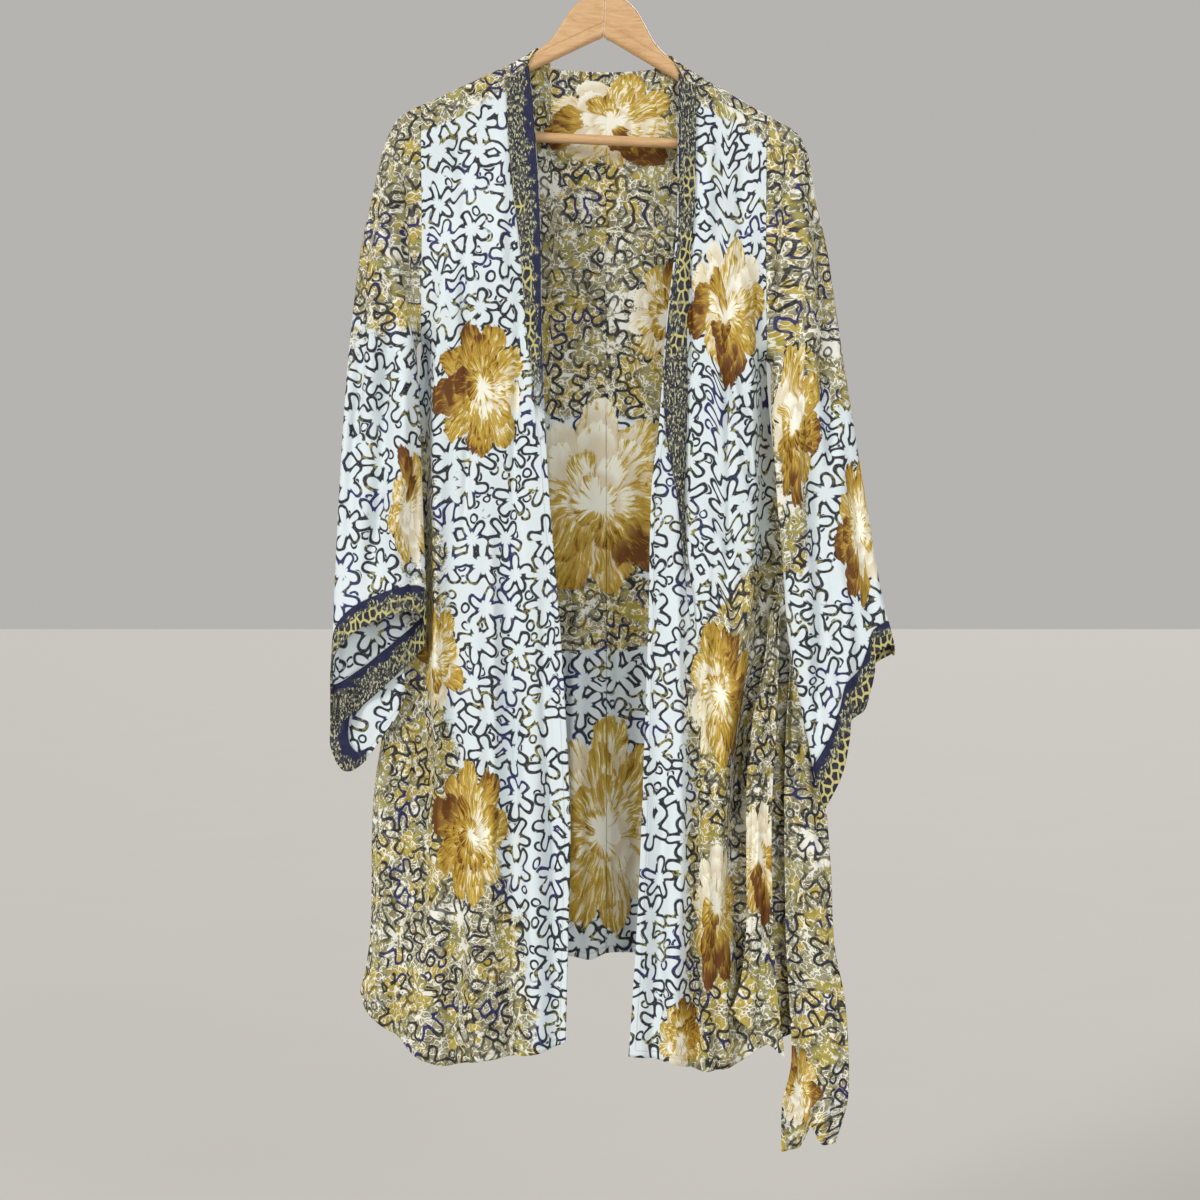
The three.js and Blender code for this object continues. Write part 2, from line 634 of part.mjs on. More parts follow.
// One wooden arm: rounded sections along the arm, closed at both ends
function hangerArm(sign) {
  const around = 12;
  const positions = [];
  const widths = [];
  for (let n = 0; n < ARM.length - 1; n += 1) {
    const parts = Math.max(1, Math.round((ARM[n + 1].w - ARM[n].w) / 15));
    for (let k = 0; k < parts; k += 1) widths.push({ n, t: k / parts });
  }
  widths.push({ n: ARM.length - 2, t: 1 });
  for (const { n, t } of widths) {
    const w = mix(ARM[n].w, ARM[n + 1].w, t);
    const top = mix(ARM[n].top, ARM[n + 1].top, t);
    const low = mix(ARM[n].low, ARM[n + 1].low, t);
    const middle = (top + low) / 2;
    const high = (top - low) / 2 - WOOD_HALF;
    for (let k = 0; k < around; k += 1) {
      const angle = ((k + 0.5) / around) * 2 * Math.PI;
      const y = WOOD_HALF * Math.cos(angle);
      const z = middle + WOOD_HALF * Math.sin(angle) + Math.sign(Math.sin(angle)) * high;
      positions.push(sign * w, y, z);
    }
  }
  const faces = [];
  const count = widths.length;
  for (let r = 0; r < count - 1; r += 1) {
    for (let n = 0; n < around; n += 1) {
      const next = (n + 1) % around;
      const [a, b] = [r * around + n, r * around + next];
      faces.push(a, b, b + around, a, b + around, a + around);
    }
  }
  const endFan = (start, flip) => {
    for (let n = 1; n < around - 1; n += 1) {
      const triangle = [start, start + n, start + n + 1];
      faces.push(...(flip ? triangle.reverse() : triangle));
    }
  };
  endFan(0, true);
  endFan((count - 1) * around, false);
  const geometry = new THREE.BufferGeometry();
  geometry.setAttribute("position", new THREE.Float32BufferAttribute(positions, 3));
  geometry.setIndex(faces);
  return geometry;
}

function hangerBar() {
  const bar = new THREE.CylinderGeometry(BAR_DIAMETER / 2, BAR_DIAMETER / 2, 2 * BAR_HALF, 16, 1);
  bar.rotateZ(Math.PI / 2);
  bar.translate(0, 0, BAR_HEIGHT);
  return bar;
}

// Hook: a stem that rises from the wood and turns over the rail
function hangerHook() {
  const points = [new THREE.Vector3(0, 0, ARM[0].top + SEAM_GAP), new THREE.Vector3(0, 0, -54)];
  const centre = -HOOK_RADIUS + HOOK_WIRE / 2;
  const from = THREE.MathUtils.degToRad(-50);
  const to = THREE.MathUtils.degToRad(205);
  const turns = 12;
  for (let n = 0; n <= turns; n += 1) {
    const angle = mix(from, to, n / turns);
    const x = HOOK_RADIUS * Math.cos(angle);
    points.push(new THREE.Vector3(x, 0, centre + HOOK_RADIUS * Math.sin(angle)));
  }
  const section = new THREE.Shape();
  section.absellipse(0, 0, HOOK_WIRE / 2, HOOK_WIRE / 2, 0, 2 * Math.PI);
  return new THREE.ExtrudeGeometry(section, {
    extrudePath: new THREE.CatmullRomCurve3(points, false, "centripetal"),
    steps: 30,
    curveSegments: 4,
  });
}

const crepe = (color) => new THREE.MeshStandardMaterial({ color, roughness: 0.5, metalness: 0 });
const border = (color) => new THREE.MeshStandardMaterial({ color, roughness: 0.55, metalness: 0 });
const beech = () => new THREE.MeshStandardMaterial({ color: 0xd9a868, roughness: 0.4, metalness: 0 });
const steel = () => new THREE.MeshStandardMaterial({ color: 0xb9bcc0, roughness: 0.25, metalness: 1 });

const robe = new THREE.Group();
function add(parent, name, geometry, material) {
  const closed = geometry.getIndex() ? facingOut(geometry) : geometry;
  const mesh = new THREE.Mesh(closed, material);
  mesh.name = name;
  parent.add(mesh);
}

// Moves a closed band's first row down until it lies a seam's gap, measured square, from its place
function openSeam(band) {
  const row = band.points[0];
  const moves = row.map((here, u) => {
    const next = row[(u + 1) % row.length];
    const before = row[(u + row.length - 1) % row.length];
    const along = next.clone().sub(before).normalize();
    const down = band.points[1][u].clone().sub(here).normalize();
    const square = down.clone().addScaledVector(along, -down.dot(along)).length();
    return down.multiplyScalar(Math.min(CUFF_GAP / square, MOST_SHIFT));
  });
  row.forEach((here, u) => here.add(moves[u]));
}

// The cloth panels of one side, with the neck band lying on the front
function addSide(side, name, sleeveTable, bandRows) {
  const front = frontGrid(side);
  const frontBox = { column: 0, lastColumn: FRONT_COLUMNS, row: 0, lastRow: FRONT_ROWS };
  add(robe, "front_" + name, wallOf(piece(front, frontBox), WALL), crepe(0xdfe3e6));
  const bandBox = { column: 1, lastColumn: 1 + BAND_COLUMNS, row: 0, lastRow: bandRows };
  const outwards = Math.sign(-front.normals[5][2].y) * ((WALL + BAND_WALL) / 2 + SEAM_GAP + 0.3);
  add(robe, "neck_band_" + name, wallOf(piece(front, bandBox, outwards), BAND_WALL), border(0x23252f));
  add(robe, "back_" + name, wallOf(backGrid(side), WALL), crepe(0x9c9474));
  const whole = sleeveGrid(sleeveTable);
  const all = { column: 0, lastColumn: SLEEVE_COLUMNS - 1 };
  const upper = piece(whole, { ...all, row: 0, lastRow: SLEEVE_ROWS });
  const cuff = piece(whole, { ...all, row: SLEEVE_ROWS, lastRow: SLEEVE_ROWS + CUFF_ROWS });
  openSeam(cuff);
  add(robe, "sleeve_" + name, wallOf(upper, WALL), crepe(0xb5b09a));
  add(robe, "cuff_band_" + name, wallOf(cuff, WALL), border(0x2a2c3a));
}
addSide(LEFT, "left", SLEEVE_LEFT, 7);
addSide(RIGHT, "right", SLEEVE_RIGHT, 10);
add(robe, "sash_short_end", sashEnd(SASH_SHORT, 0), crepe(0xa79d6e));
add(robe, "sash_long_end", sashEnd(SASH_LONG, 22), crepe(0xa79d6e));
add(robe, "belt_loop", beltLoop(), crepe(0x8d8560));

const hanger = new THREE.Group();
hanger.rotation.y = TILT;
add(hanger, "hanger_arm_left", hangerArm(-1), beech());
add(hanger, "hanger_arm_right", hangerArm(1), beech());
add(hanger, "hanger_bar", hangerBar(), beech());
add(hanger, "hanger_hook", hangerHook(), steel());
robe.add(hanger);

export default robe;
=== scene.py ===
# A short open kimono robe of printed crepe on a wooden hanger: fine cloth, sewing, finishes and light.
# Shapes are worked out in millimetres, +Z up, front towards -Y, and written to meshes in metres.
import math

import bpy
import numpy as np
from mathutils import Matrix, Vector


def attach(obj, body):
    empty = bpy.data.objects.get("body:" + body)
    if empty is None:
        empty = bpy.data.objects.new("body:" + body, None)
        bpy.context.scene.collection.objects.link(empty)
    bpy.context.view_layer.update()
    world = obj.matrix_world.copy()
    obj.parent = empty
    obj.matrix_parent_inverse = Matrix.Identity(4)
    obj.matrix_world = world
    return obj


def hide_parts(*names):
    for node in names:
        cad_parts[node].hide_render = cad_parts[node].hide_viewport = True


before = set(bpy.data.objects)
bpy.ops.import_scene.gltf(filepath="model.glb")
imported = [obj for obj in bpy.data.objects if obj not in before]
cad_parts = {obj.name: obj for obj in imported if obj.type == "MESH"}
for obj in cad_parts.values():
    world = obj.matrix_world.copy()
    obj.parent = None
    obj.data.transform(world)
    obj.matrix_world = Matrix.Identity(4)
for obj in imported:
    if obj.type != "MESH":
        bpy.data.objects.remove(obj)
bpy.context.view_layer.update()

MILLI = 1000  # millimetres in a metre

# Driving sizes, the same as the solids'
WALL = 1.8
SEAM_GAP = 0.3
TILT = math.radians(2.6)
OVER_RADIUS = 8.0
OVER_FRONT = 20.0
QUARTER = OVER_RADIUS * math.pi / 2
PINCH = WALL / 2 + SEAM_GAP / 2
BODY_DEPTH = 34.0
BACK_DEPTH = 30.0
FULL_DEPTH_DROP = 240.0
NECK_EDGE = -143.0
CENTRE_BACK = -3.0
NECK_FRONT = 4.0
NECK_ARCH = 18.0
NECK_BACK = 28.0
HOOK_RADIUS = 21.8
HOOK_WIRE = 3.6
WOOD_HALF = 6.0
BAR_RADIUS = 5.5
BAR_HEIGHT = -225.0
BAR_HALF = 179.9
CUFF_FROM = 0.925
GROOVE_UP = 15.0  # height of the groove over the wooden arm's lower edge
GROOVE_WIDE = 0.9
GROOVE_DEEP = 0.9
GROOVE_END = 176.0
LOOP_X = 195.0
LOOP_RADIUS = 1.35

# Cloth as rendered
CLOTH = 0.9  # thickness of the crepe's shell
HEM_EXTRA = 1.1  # more thickness where a hem is turned twice
HEM_WIDTH = 9.0
CUFF_CLOTH = CLOTH + 0.5
BAND_CLOTH = 1.0
BAND_OUT = 2.1  # how far the neck band's middle lies outside the front's middle
BAND_STITCH = 4.6  # how much nearer its edge the neck band is stitched than a hem
SEAM_REACH = 0.5  # how much further the rendered panels reach towards the sleeves
NO_FADE = (-3.0, -2.9)  # heights in metres far below the robe, for a border that doesn't fade
FRONT_LOW = -1230.0  # nominal heights of the hems
BACK_LOW = -1130.0

# Grids of points: columns across the cloth and rows down it
FRONT_GRID = (124, 264)
BAND_GRID = (22, 150)
BACK_COLUMNS = 120
OVER_ROWS = 26  # rows over the shoulder
LOW_ROWS = 196
BEHIND_ARC = 12.0  # how far behind the shoulder's top its finer rows end
AROUND = 150  # columns round a sleeve
BEHIND_FOLD = 12  # columns from a sleeve's outer fold to where its back's print begins
SLEEVE_ROWS = 190
TUCKED_ROWS = (-0.06, -0.03, -0.004)  # rows of a sleeve that lie under the panels, as shares of it
CUFF_ROWS = 26
CUFF_GAP = 0.0008
FOLD_GRID = (70, 50)
SASH_GRID = (46, 220)

# Stage, in metres
FLOOR_HEIGHT = -1.6
FLOOR_HALF = 60.0

# Garment's top line in the hanger's tilted frame: w outwards, z of the cloth's outer face
TOP_LINE = (
    (0, -60), (30, -74), (44, -90.5), (56, -112), (80, -132),
    (100, -145), (142, -167), (180, -187), (215, -205), (235, -216),
)

# Sides of the garment. Tables run (z, x); folds run (top x, low x, start z, width, depth)
LEFT = {
    "sign": -1,
    "arm": 205,
    "neck": 89,
    "underarm": -446,
    "open": (
        (-130, -88), (-215, -80), (-334, -73), (-432, -72), (-599, -65),
        (-775, -51), (-962, -41), (-1049, -42), (-1128, -44), (-1230, -47),
    ),
    "side": (
        (-100, 205), (-446, 205), (-650, 224), (-850, 244), (-951, 258),
        (-1088, 261), (-1134, 266), (-1169, 274), (-1260, 276),
    ),
    "step": (
        (-100, 202, 60), (-300, 202, 50), (-446, 202, 18),
        (-900, 202, 20), (-1040, 214, 60), (-1260, 224, 80),
    ),
    "hem": (
        (0, -1212), (0.13, -1222), (0.28, -1228), (0.46, -1232), (0.55, -1240), (0.65, -1236),
        (0.74, -1225), (0.8, -1211), (0.89, -1197), (0.96, -1182), (1, -1160),
    ),
    "folds": (
        (-168, -170, -330, 11, 15), (-140, -142, -420, 12, -8), (-112, -108, -300, 11, 13),
        (-86, -78, -460, 12, -8), (-66, -56, -620, 8, 6), (-196, -206, -880, 12, -8),
        (-226, -232, -900, 11, 9),
    ),
    "band": (
        (-120, 0, 25), (-215, 0, 29), (-274, 0, 29), (-345, 0, 23),
        (-432, 0, 16), (-520, 0, 10), (-600, 0, 5),
    ),
    "band_low": 7 / 18,
    "border": (0.25, (-0.46, -0.30), (-0.56, -0.47)),
}
RIGHT = {
    "sign": 1,
    "arm": 174,
    "neck": 79,
    "underarm": -468,
    "open": (
        (-130, 77), (-269, 76), (-334, 74), (-434, 63), (-542, 55), (-611, 47),
        (-742, 44), (-951, 37), (-1069, 32), (-1186, 25), (-1240, 21),
    ),
    "side": (
        (-100, 174), (-468, 174), (-650, 191), (-800, 211),
        (-958, 231), (-1039, 239), (-1094, 244), (-1260, 246),
    ),
    "step": (
        (-100, 171, 60), (-300, 171, 50), (-468, 171, 18), (-731, 170, 18),
        (-850, 154, 20), (-930, 143, 22), (-1260, 148, 24),
    ),
    "hem": (
        (0, -1226), (0.2, -1232), (0.31, -1240), (0.45, -1241), (0.58, -1233),
        (0.67, -1217), (0.78, -1207), (0.88, -1196), (0.95, -1182), (1, -1160),
    ),
    "folds": (
        (118, 117, -560, 8, 9), (97, 92, -380, 9, 14), (76, 70, -560, 9, -7),
        (60, 49, -640, 9, 8), (140, 108, -420, 10, -7), (150, 178, -980, 11, -9),
        (200, 214, -980, 13, -9),
    ),
    "band": (
        (-120, 0, 19), (-269, 0, 19), (-345, 2, 16), (-434, 1, 20), (-500, 2, 25),
        (-552, 9, 21), (-611, 26, 11), (-690, 36, 7), (-780, 50, 4),
    ),
    "band_low": 10 / 18,
    "border": (0.02, (-0.46, -0.25), (-0.74, -0.66)),
}
BACK_HEM = (
    (-290, -1136), (-150, -1134), (-43, -1128), (-20, -1131),
    (0, -1124), (28, -1125), (150, -1134), (290, -1136),
)
BACK_FOLDS = (
    (-150, -176, -420, 16, -10), (-96, -112, -380, 17, 9), (-52, -62, -520, 14, -8),
    (-16, -20, -600, 10, 6), (28, 30, -450, 13, -8), (74, 84, -420, 15, 9),
    (120, 140, -380, 16, -10), (168, 196, -640, 15, 8),
)

# Sleeve sections from the armhole to the cuff's edge:
# outer fold x, z, y, underarm fold x, z, y, half thickness, rise of the front edge, drop of the back
SLEEVE_LEFT = (
    (-206.4, -187.6, 0, -206.2, -446.5, 0, 15, 0, 0),
    (-216, -192.2, 0, -208, -448, -1, 17, 0, 0),
    (-228, -199.5, 0, -209.5, -451, -4, 18, 0, 0),
    (-238, -214, -1, -210, -455, -8, 19, 0, 0),
    (-248, -241, -2, -210, -461, -13, 20, 0, 0),
    (-258, -287, -5, -209, -470, -18, 20, 0, 0),
    (-270, -345, -9, -208, -484, -23, 19, 0, 0),
    (-278, -410, -14, -206, -506, -28, 18, 0, 0),
    (-285, -490, -20, -204, -545, -33, 16, 0, 0),
    (-290, -575, -26, -202, -600, -36, 15, 0, 0),
    (-294, -660, -30, -200, -652, -38, 15, 6, 4),
    (-297, -740, -32, -198, -702, -39, 16, 24, 16),
    (-299, -818, -33, -197, -742, -40, 17, 74, 78),
    (-301, -866, -33, -198, -778, -40, 18, 92, 88),
)
SLEEVE_RIGHT = (
    (175.4, -197.9, 0, 175.2, -468.5, 0, 15, 0, 0),
    (187, -204.6, 0, 177, -470, -1, 17, 0, 0),
    (201, -212.4, 0, 178.5, -473, -4, 18, 0, 0),
    (212, -224, -1, 179, -477, -8, 19, 0, 0),
    (221, -248, -2, 179, -483, -13, 20, 0, 0),
    (228, -293, -5, 178, -492, -18, 20, 0, 0),
    (240, -350, -10, 178, -506, -23, 19, 0, 0),
    (251, -430, -15, 178, -532, -29, 18, 0, 0),
    (263, -512, -20, 180, -576, -34, 16, 0, 0),
    (275, -592, -26, 184, -632, -38, 15, 0, 0),
    (286, -662, -31, 190, -702, -41, 15, 0, 0),
    (295, -718, -34, 196, -778, -43, 15, 2, 3),
    (304, -766, -36, 221, -912, -44, 15, 36, -20),
    (310, -800, -36, 233, -962, -44, 15, 50, -32),
)

# Waves of the right cuff's edge from the outer fold to the underarm: share, x, z
CUFF_BENDS = (
    (0, 0, 0), (0.08, 2, 2), (0.2, -6, 5), (0.32, 1, 1), (0.45, 4, -2),
    (0.56, -4, 4), (0.68, 1, -3), (0.82, 6, -5), (0.93, 4, -5), (1, 0, 0),
)

# Turned fold that hangs behind the left cuff: its outline's band, and the white part beside it.
# x, z of the outer edge and of the inner edge
FOLD_BAND = (
    (-303, -858, -281, -850), (-304, -872, -283, -864), (-304, -888, -284, -877),
    (-299, -904, -282, -888), (-290, -917, -276, -896), (-278, -917, -271, -897),
    (-264, -906, -264, -893),
)
FOLD_WHITE = (
    (-297, -846, -285, -880), (-281, -838, -276, -898), (-262, -826, -262, -901),
    (-244, -812, -245, -878), (-232, -803, -231, -858), (-223, -796, -222, -836),
)

# Sash ends from the belt loop down: upper edge x, z, lower edge x, z, depth y, depth of its folds
SASH_SHORT = (
    (195, -722, 195, -742, -8, 0), (185, -725, 189, -749, -9, 1), (177, -742, 188, -765, -11, 2),
    (172, -790, 187, -795, -15, 3), (158, -862, 184, -862, -19, 4), (151, -940, 179, -940, -22, 5),
    (151, -1020, 178, -1020, -25, 6), (150, -1100, 180, -1100, -27, 6),
    (142, -1156, 184, -1160, -28, 5), (131, -1179, 192, -1228, -29, 4),
)
SASH_LONG = (
    (195.6, -722, 195.6, -742, -8, 0), (212, -727, 207, -751, -9, 1),
    (219, -752, 203, -768, -9, 2), (224, -800, 200, -802, -9.5, 2.5),
    (232, -870, 195, -870, -10.5, 3), (238, -945, 193, -945, -13, 4),
    (244, -1030, 193, -1030, -17, 6), (247, -1105, 194, -1105, -21, 7),
    (258, -1165, 197, -1165, -24, 8), (262, -1225, 199, -1232, -26, 8),
    (261, -1275, 189, -1280, -27, 7), (247, -1322, 188, -1330, -28, 6),
)

# Wooden arm in the hanger's frame: w outwards from the middle joint, top and low edge
ARM = (
    (0.2, -62, -112), (12, -63, -118), (25, -71, -125), (36, -81, -131), (44, -94, -135),
    (55, -114, -141), (66, -125, -146.5), (80, -136.3, -154), (100, -147.9, -167),
    (142, -169.7, -189), (180, -189.9, -209), (180.3, -190.1, -238), (196, -198.5, -240),
    (199, -204, -236),
)

# Finer creases: x and z of both ends, width, depth (towards the front is negative)
LEFT_CREASES = (
    (-196, -330, -200, -760, 7, 5), (-182, -520, -188, -1100, 6, -3), (-154, -300, -156, -700, 6, 3.5),
    (-126, -620, -124, -1180, 6, -3.5), (-98, -340, -100, -760, 7, 4), (-100, -760, -92, -1210, 6, 4),
    (-190, -860, -214, -1190, 8, 5), (-212, -820, -246, -1100, 7, -4), (-150, -880, -160, -1220, 6, 4),
    (-70, -700, -64, -1180, 5, 3), (-176, -190, -150, -330, 9, 3), (-120, -200, -110, -420, 8, -2.5),
    (-230, -640, -240, -880, 7, 4),
)
RIGHT_CREASES = (
    (88, -300, 84, -800, 6, 4.5), (108, -600, 104, -1200, 6, -3.5), (132, -380, 128, -760, 6, 4),
    (184, -731, 118, -400, 7, -4), (184, -735, 134, -480, 6, 4), (182, -742, 96, -620, 7, 3.5),
    (176, -760, 120, -860, 8, -4), (150, -790, 128, -1120, 8, 9), (62, -900, 56, -1220, 6, 3),
    (140, -1000, 146, -1200, 7, 4), (152, -200, 140, -420, 9, 2.5), (108, -190, 112, -360, 8, -2.5),
    (196, -820, 214, -1150, 7, 4), (78, -640, 78, -1150, 5, -2.5),
)
BACK_CREASES = (
    (-120, -300, -140, -900, 9, 4), (-34, -640, -40, -1110, 7, 3), (10, -560, 8, -1110, 7, -3),
    (50, -480, 58, -1100, 8, 3.5), (98, -300, 116, -900, 9, -4), (150, -500, 176, -1100, 8, 4),
    (-180, -560, -214, -1100, 9, 4), (-74, -420, -86, -1000, 8, -3),
)
SLEEVE_LEFT_CREASES = (
    (-227, -240, -214, -430, 8, 6), (-243, -250, -268, -560, 9, -5), (-232, -400, -258, -720, 9, 6),
    (-216, -470, -232, -740, 8, -5), (-262, -380, -282, -700, 8, 4), (-208, -560, -214, -740, 6, 4),
)
SLEEVE_RIGHT_CREASES = (
    (196, -230, 188, -460, 8, 5), (214, -250, 226, -520, 8, -5), (230, -434, 243, -600, 8, 6),
    (216, -571, 232, -909, 8, 7), (200, -520, 208, -700, 7, -5), (262, -560, 282, -760, 8, 4),
    (245, -640, 262, -860, 8, -5), (190, -480, 190, -680, 6, 4),
)


def mix(a, b, t):
    return a + (b - a) * t


def smooth(low, high, value):
    t = np.clip((value - low) / (high - low), 0, 1)
    return t * t * (3 - 2 * t)


def read(table, value, column=1):
    """Smooth reading of a table's column at a value of its first column."""
    rows = sorted(table, key=lambda row: row[0])
    keys = np.array([row[0] for row in rows], float)
    found = np.array([row[column] for row in rows], float)
    slopes = np.empty_like(found)
    slopes[1:-1] = (found[2:] - found[:-2]) / (keys[2:] - keys[:-2])
    slopes[0] = (found[1] - found[0]) / (keys[1] - keys[0])
    slopes[-1] = (found[-1] - found[-2]) / (keys[-1] - keys[-2])
    value = np.clip(value, keys[0], keys[-1])
    at = np.clip(np.searchsorted(keys, value, side="right") - 1, 0, len(keys) - 2)
    span = keys[at + 1] - keys[at]
    t = (value - keys[at]) / span
    t2 = t * t
    t3 = t2 * t
    return (
        (2 * t3 - 3 * t2 + 1) * found[at]
        + (t3 - 2 * t2 + t) * span * slopes[at]
        + (3 * t2 - 2 * t3) * found[at + 1]
        + (t3 - t2) * span * slopes[at + 1]
    )


def top_line(x):
    w = x
    for _ in range(5):
        w = (x - read(TOP_LINE, np.abs(w)) * math.sin(TILT)) / math.cos(TILT)
    return read(TOP_LINE, np.abs(w)) * math.cos(TILT) - w * math.sin(TILT) - WALL / 2


def ring_depth(distance, half, middle, outer_round, under_end):
    """Half thickness of a flat closed section at a distance from its outer fold."""
    from_outer = np.clip(distance, 0, 2 * half)
    from_under = 2 * half - from_outer
    start = np.minimum(from_outer / outer_round, 1)
    body = mix(outer_round, middle, smooth(outer_round, 60, from_outer))
    end = np.minimum(from_under / 30, 1)
    depth = body * np.sqrt(start * (2 - start)) * np.sqrt(end * (2 - end))
    return np.maximum(depth, under_end)


def arm_depth(side, x, z):
    top = top_line(x)
    return ring_depth(top - z, (top - side["underarm"]) / 2, 15, OVER_RADIUS, PINCH)


def fold_depth(folds, x, z):
    total = 0
    for top, low, start, wide, deep in folds:
        fall = (start - z) / (start - FRONT_LOW)
        middle = mix(top, low, fall)
        total = total + deep * smooth(0, 1, fall) * np.exp(-(((x - middle) / wide) ** 2))
    return total


def crease_depth(creases, x, z):
    """Creases along straight lines, fading in and out at their ends and a little uneven."""
    total = 0
    for number, (x0, z0, x1, z1, wide, deep) in enumerate(creases):
        along = (z - z0) / (z1 - z0)
        middle = mix(x0, x1, along) + 2.5 * np.sin(along * 7 + number * 1.7)
        fade = smooth(0, 0.3, along) * smooth(1.05, 0.7, along)
        uneven = 1 + 0.3 * np.sin(along * 11 + number * 2.3)
        total = total + 1.5 * deep * fade * uneven * np.exp(-(((x - middle) / (0.85 * wide)) ** 2))
    return total


def ripple(x, z, size):
    """Faint unevenness of hanging thin cloth."""
    first = np.sin(x / 17 + 1.3 * np.sin(z / 95)) * np.sin(z / 70 + 0.8 * np.sin(x / 40))
    second = np.sin(x / 8.5 + z / 60 + 2) * np.sin(z / 33 + x / 28)
    return size * (0.65 * first + 0.35 * second)


def front_y(side, creases, x, z):
    from_edge = read(side["side"], z) - np.abs(x)
    fall = top_line(x) - OVER_RADIUS - z
    full = mix(OVER_RADIUS, BODY_DEPTH, smooth(0, FULL_DEPTH_DROP, fall))
    edge = arm_depth(side, x, z)
    below = smooth(side["underarm"], side["underarm"] - 60, z)
    strip = mix(edge, 2.2, below * smooth(0, 14, from_edge))
    wide = read(side["step"], z, 2)
    turn = smooth(0, wide, read(side["step"], z, 1) - np.abs(x))
    lift = 8 * smooth(-960, -1150, z) * smooth(0, 40, from_edge) * (1 - turn)
    soft = smooth(2, 20, from_edge)
    fine = smooth(4, 34, from_edge) * smooth(20, 90, fall)
    detail = crease_depth(creases, x, z) + ripple(x, z, 1.3)
    return -mix(strip, full, turn) - lift + soft * fold_depth(side["folds"], x, z) + fine * detail


def back_y(side, x, z):
    from_edge = read(side["side"], z) - np.abs(x)
    fall = top_line(x) - OVER_RADIUS - z
    full = mix(OVER_RADIUS, BACK_DEPTH, smooth(0, FULL_DEPTH_DROP, fall))
    edge = arm_depth(side, x, z)
    soft = smooth(2, 30, from_edge)
    fine = smooth(4, 34, from_edge) * smooth(60, 140, fall)
    detail = crease_depth(BACK_CREASES, x, z) + ripple(x + 60, z, 1.3)
    bulge = mix(edge, full, smooth(0, 60, from_edge))
    return bulge - soft * fold_depth(BACK_FOLDS, x, z) - fine * detail


def shares_of(grid, low=1.0):
    """Shares across and down for a grid of columns and rows, down to the share given."""
    return np.meshgrid(np.linspace(0, 1, grid[0]), np.linspace(0, low, grid[1]))


def front_points(side, creases, grid, low=1.0, band=False):
    """Front panel from the opening to the side seam, or the neck band's strip along its edge."""
    share, fall = shares_of(grid, low)
    z = mix(-150.0, FRONT_LOW, fall)
    for _ in range(7):
        opening = read(side["open"], z)
        edge = side["sign"] * (read(side["side"], z) + SEAM_REACH * smooth(-470, -430, z))
        if band:
            inner = np.maximum(read(side["band"], z, 1), 0.3)
            x = opening + side["sign"] * (inner + share * read(side["band"], z, 2))
        else:
            x = mix(opening, edge, share)
        part = (x - opening) / (edge - opening)
        high = top_line(x) - OVER_RADIUS - (OVER_FRONT - QUARTER) - SEAM_GAP
        z = mix(high, read(side["hem"], part), fall)
    return np.stack([x, front_y(side, creases, x, z), z], -1)


def back_start(side, x):
    """Arc at which the back starts: the forward seam, or the neck's edge between the shoulders."""
    dip = 4 * np.cos(math.pi * x / 160)
    neck = QUARTER + top_line(x) - OVER_RADIUS - (NECK_EDGE - dip)
    inward = side["neck"] - np.abs(x)
    over = mix(-OVER_FRONT, -QUARTER, np.clip(inward / NECK_FRONT, 0, 1))
    arch = np.clip((inward - NECK_FRONT) / (NECK_ARCH - NECK_FRONT), 0, 1)
    over = np.where(inward > NECK_FRONT, mix(-QUARTER, QUARTER, arch), over)
    behind = np.clip((inward - NECK_ARCH) / (NECK_BACK - NECK_ARCH), 0, 1)
    return np.where(inward > NECK_ARCH, mix(QUARTER, neck, behind), over)


def back_point(side, creases, x, arc):
    top = top_line(x)
    angle = np.clip(arc, -QUARTER, QUARTER) / OVER_RADIUS
    past = np.maximum(np.abs(arc) - QUARTER, 0)
    z_low = top - OVER_RADIUS - past
    behind = back_y(side, x, z_low)
    before = front_y(side, creases, x, z_low)
    on_arch = np.abs(arc) <= QUARTER
    y = np.where(on_arch, OVER_RADIUS * np.sin(angle), np.where(arc < 0, before, behind))
    z = np.where(on_arch, top - OVER_RADIUS * (1 - np.cos(angle)), z_low)
    return np.stack([x, y, z], -1)


def back_points(side, creases):
    """Half of the back, from the centre seam to the side, from the shoulder's top to the hem."""
    sign = side["sign"]
    centre = CENTRE_BACK + sign * 0.06
    neck = side["neck"]
    inwards = np.concatenate([[0], np.linspace(NECK_FRONT, NECK_ARCH, 15), [21, 24.5, NECK_BACK]])
    near = np.sort(neck - inwards)
    middle = np.linspace(0, near[0], BACK_COLUMNS // 3)[:-1]
    outer = np.linspace(neck, side["arm"], BACK_COLUMNS // 2)[1:]
    tops = np.concatenate([middle, near, outer])
    shares = np.where(tops == 0, 0, (tops * sign - centre) / (sign * side["arm"] - centre))
    x_top = mix(centre, sign * side["arm"], shares)
    start = back_start(side, x_top)
    turned = np.maximum(start, 0) + QUARTER + BEHIND_ARC
    rows = []
    for t in np.linspace(0, 1, OVER_ROWS + 1):
        rows.append(back_point(side, creases, x_top, mix(start, turned, t)))
    high = rows[-1][:, 2]
    for t in np.linspace(0, 1, LOW_ROWS + 1)[1:]:
        z = mix(high, BACK_LOW, t)
        for _ in range(5):
            x = mix(centre, sign * read(side["side"], z), shares)
            z = mix(high, read(BACK_HEM, x), t)
        rows.append(np.stack([x, back_y(side, x, z), z], -1))
    return np.array(rows)


def numbered(table):
    """The table's rows, each with its share of the way along put in front."""
    return [(number / (len(table) - 1), *row) for number, row in enumerate(table)]


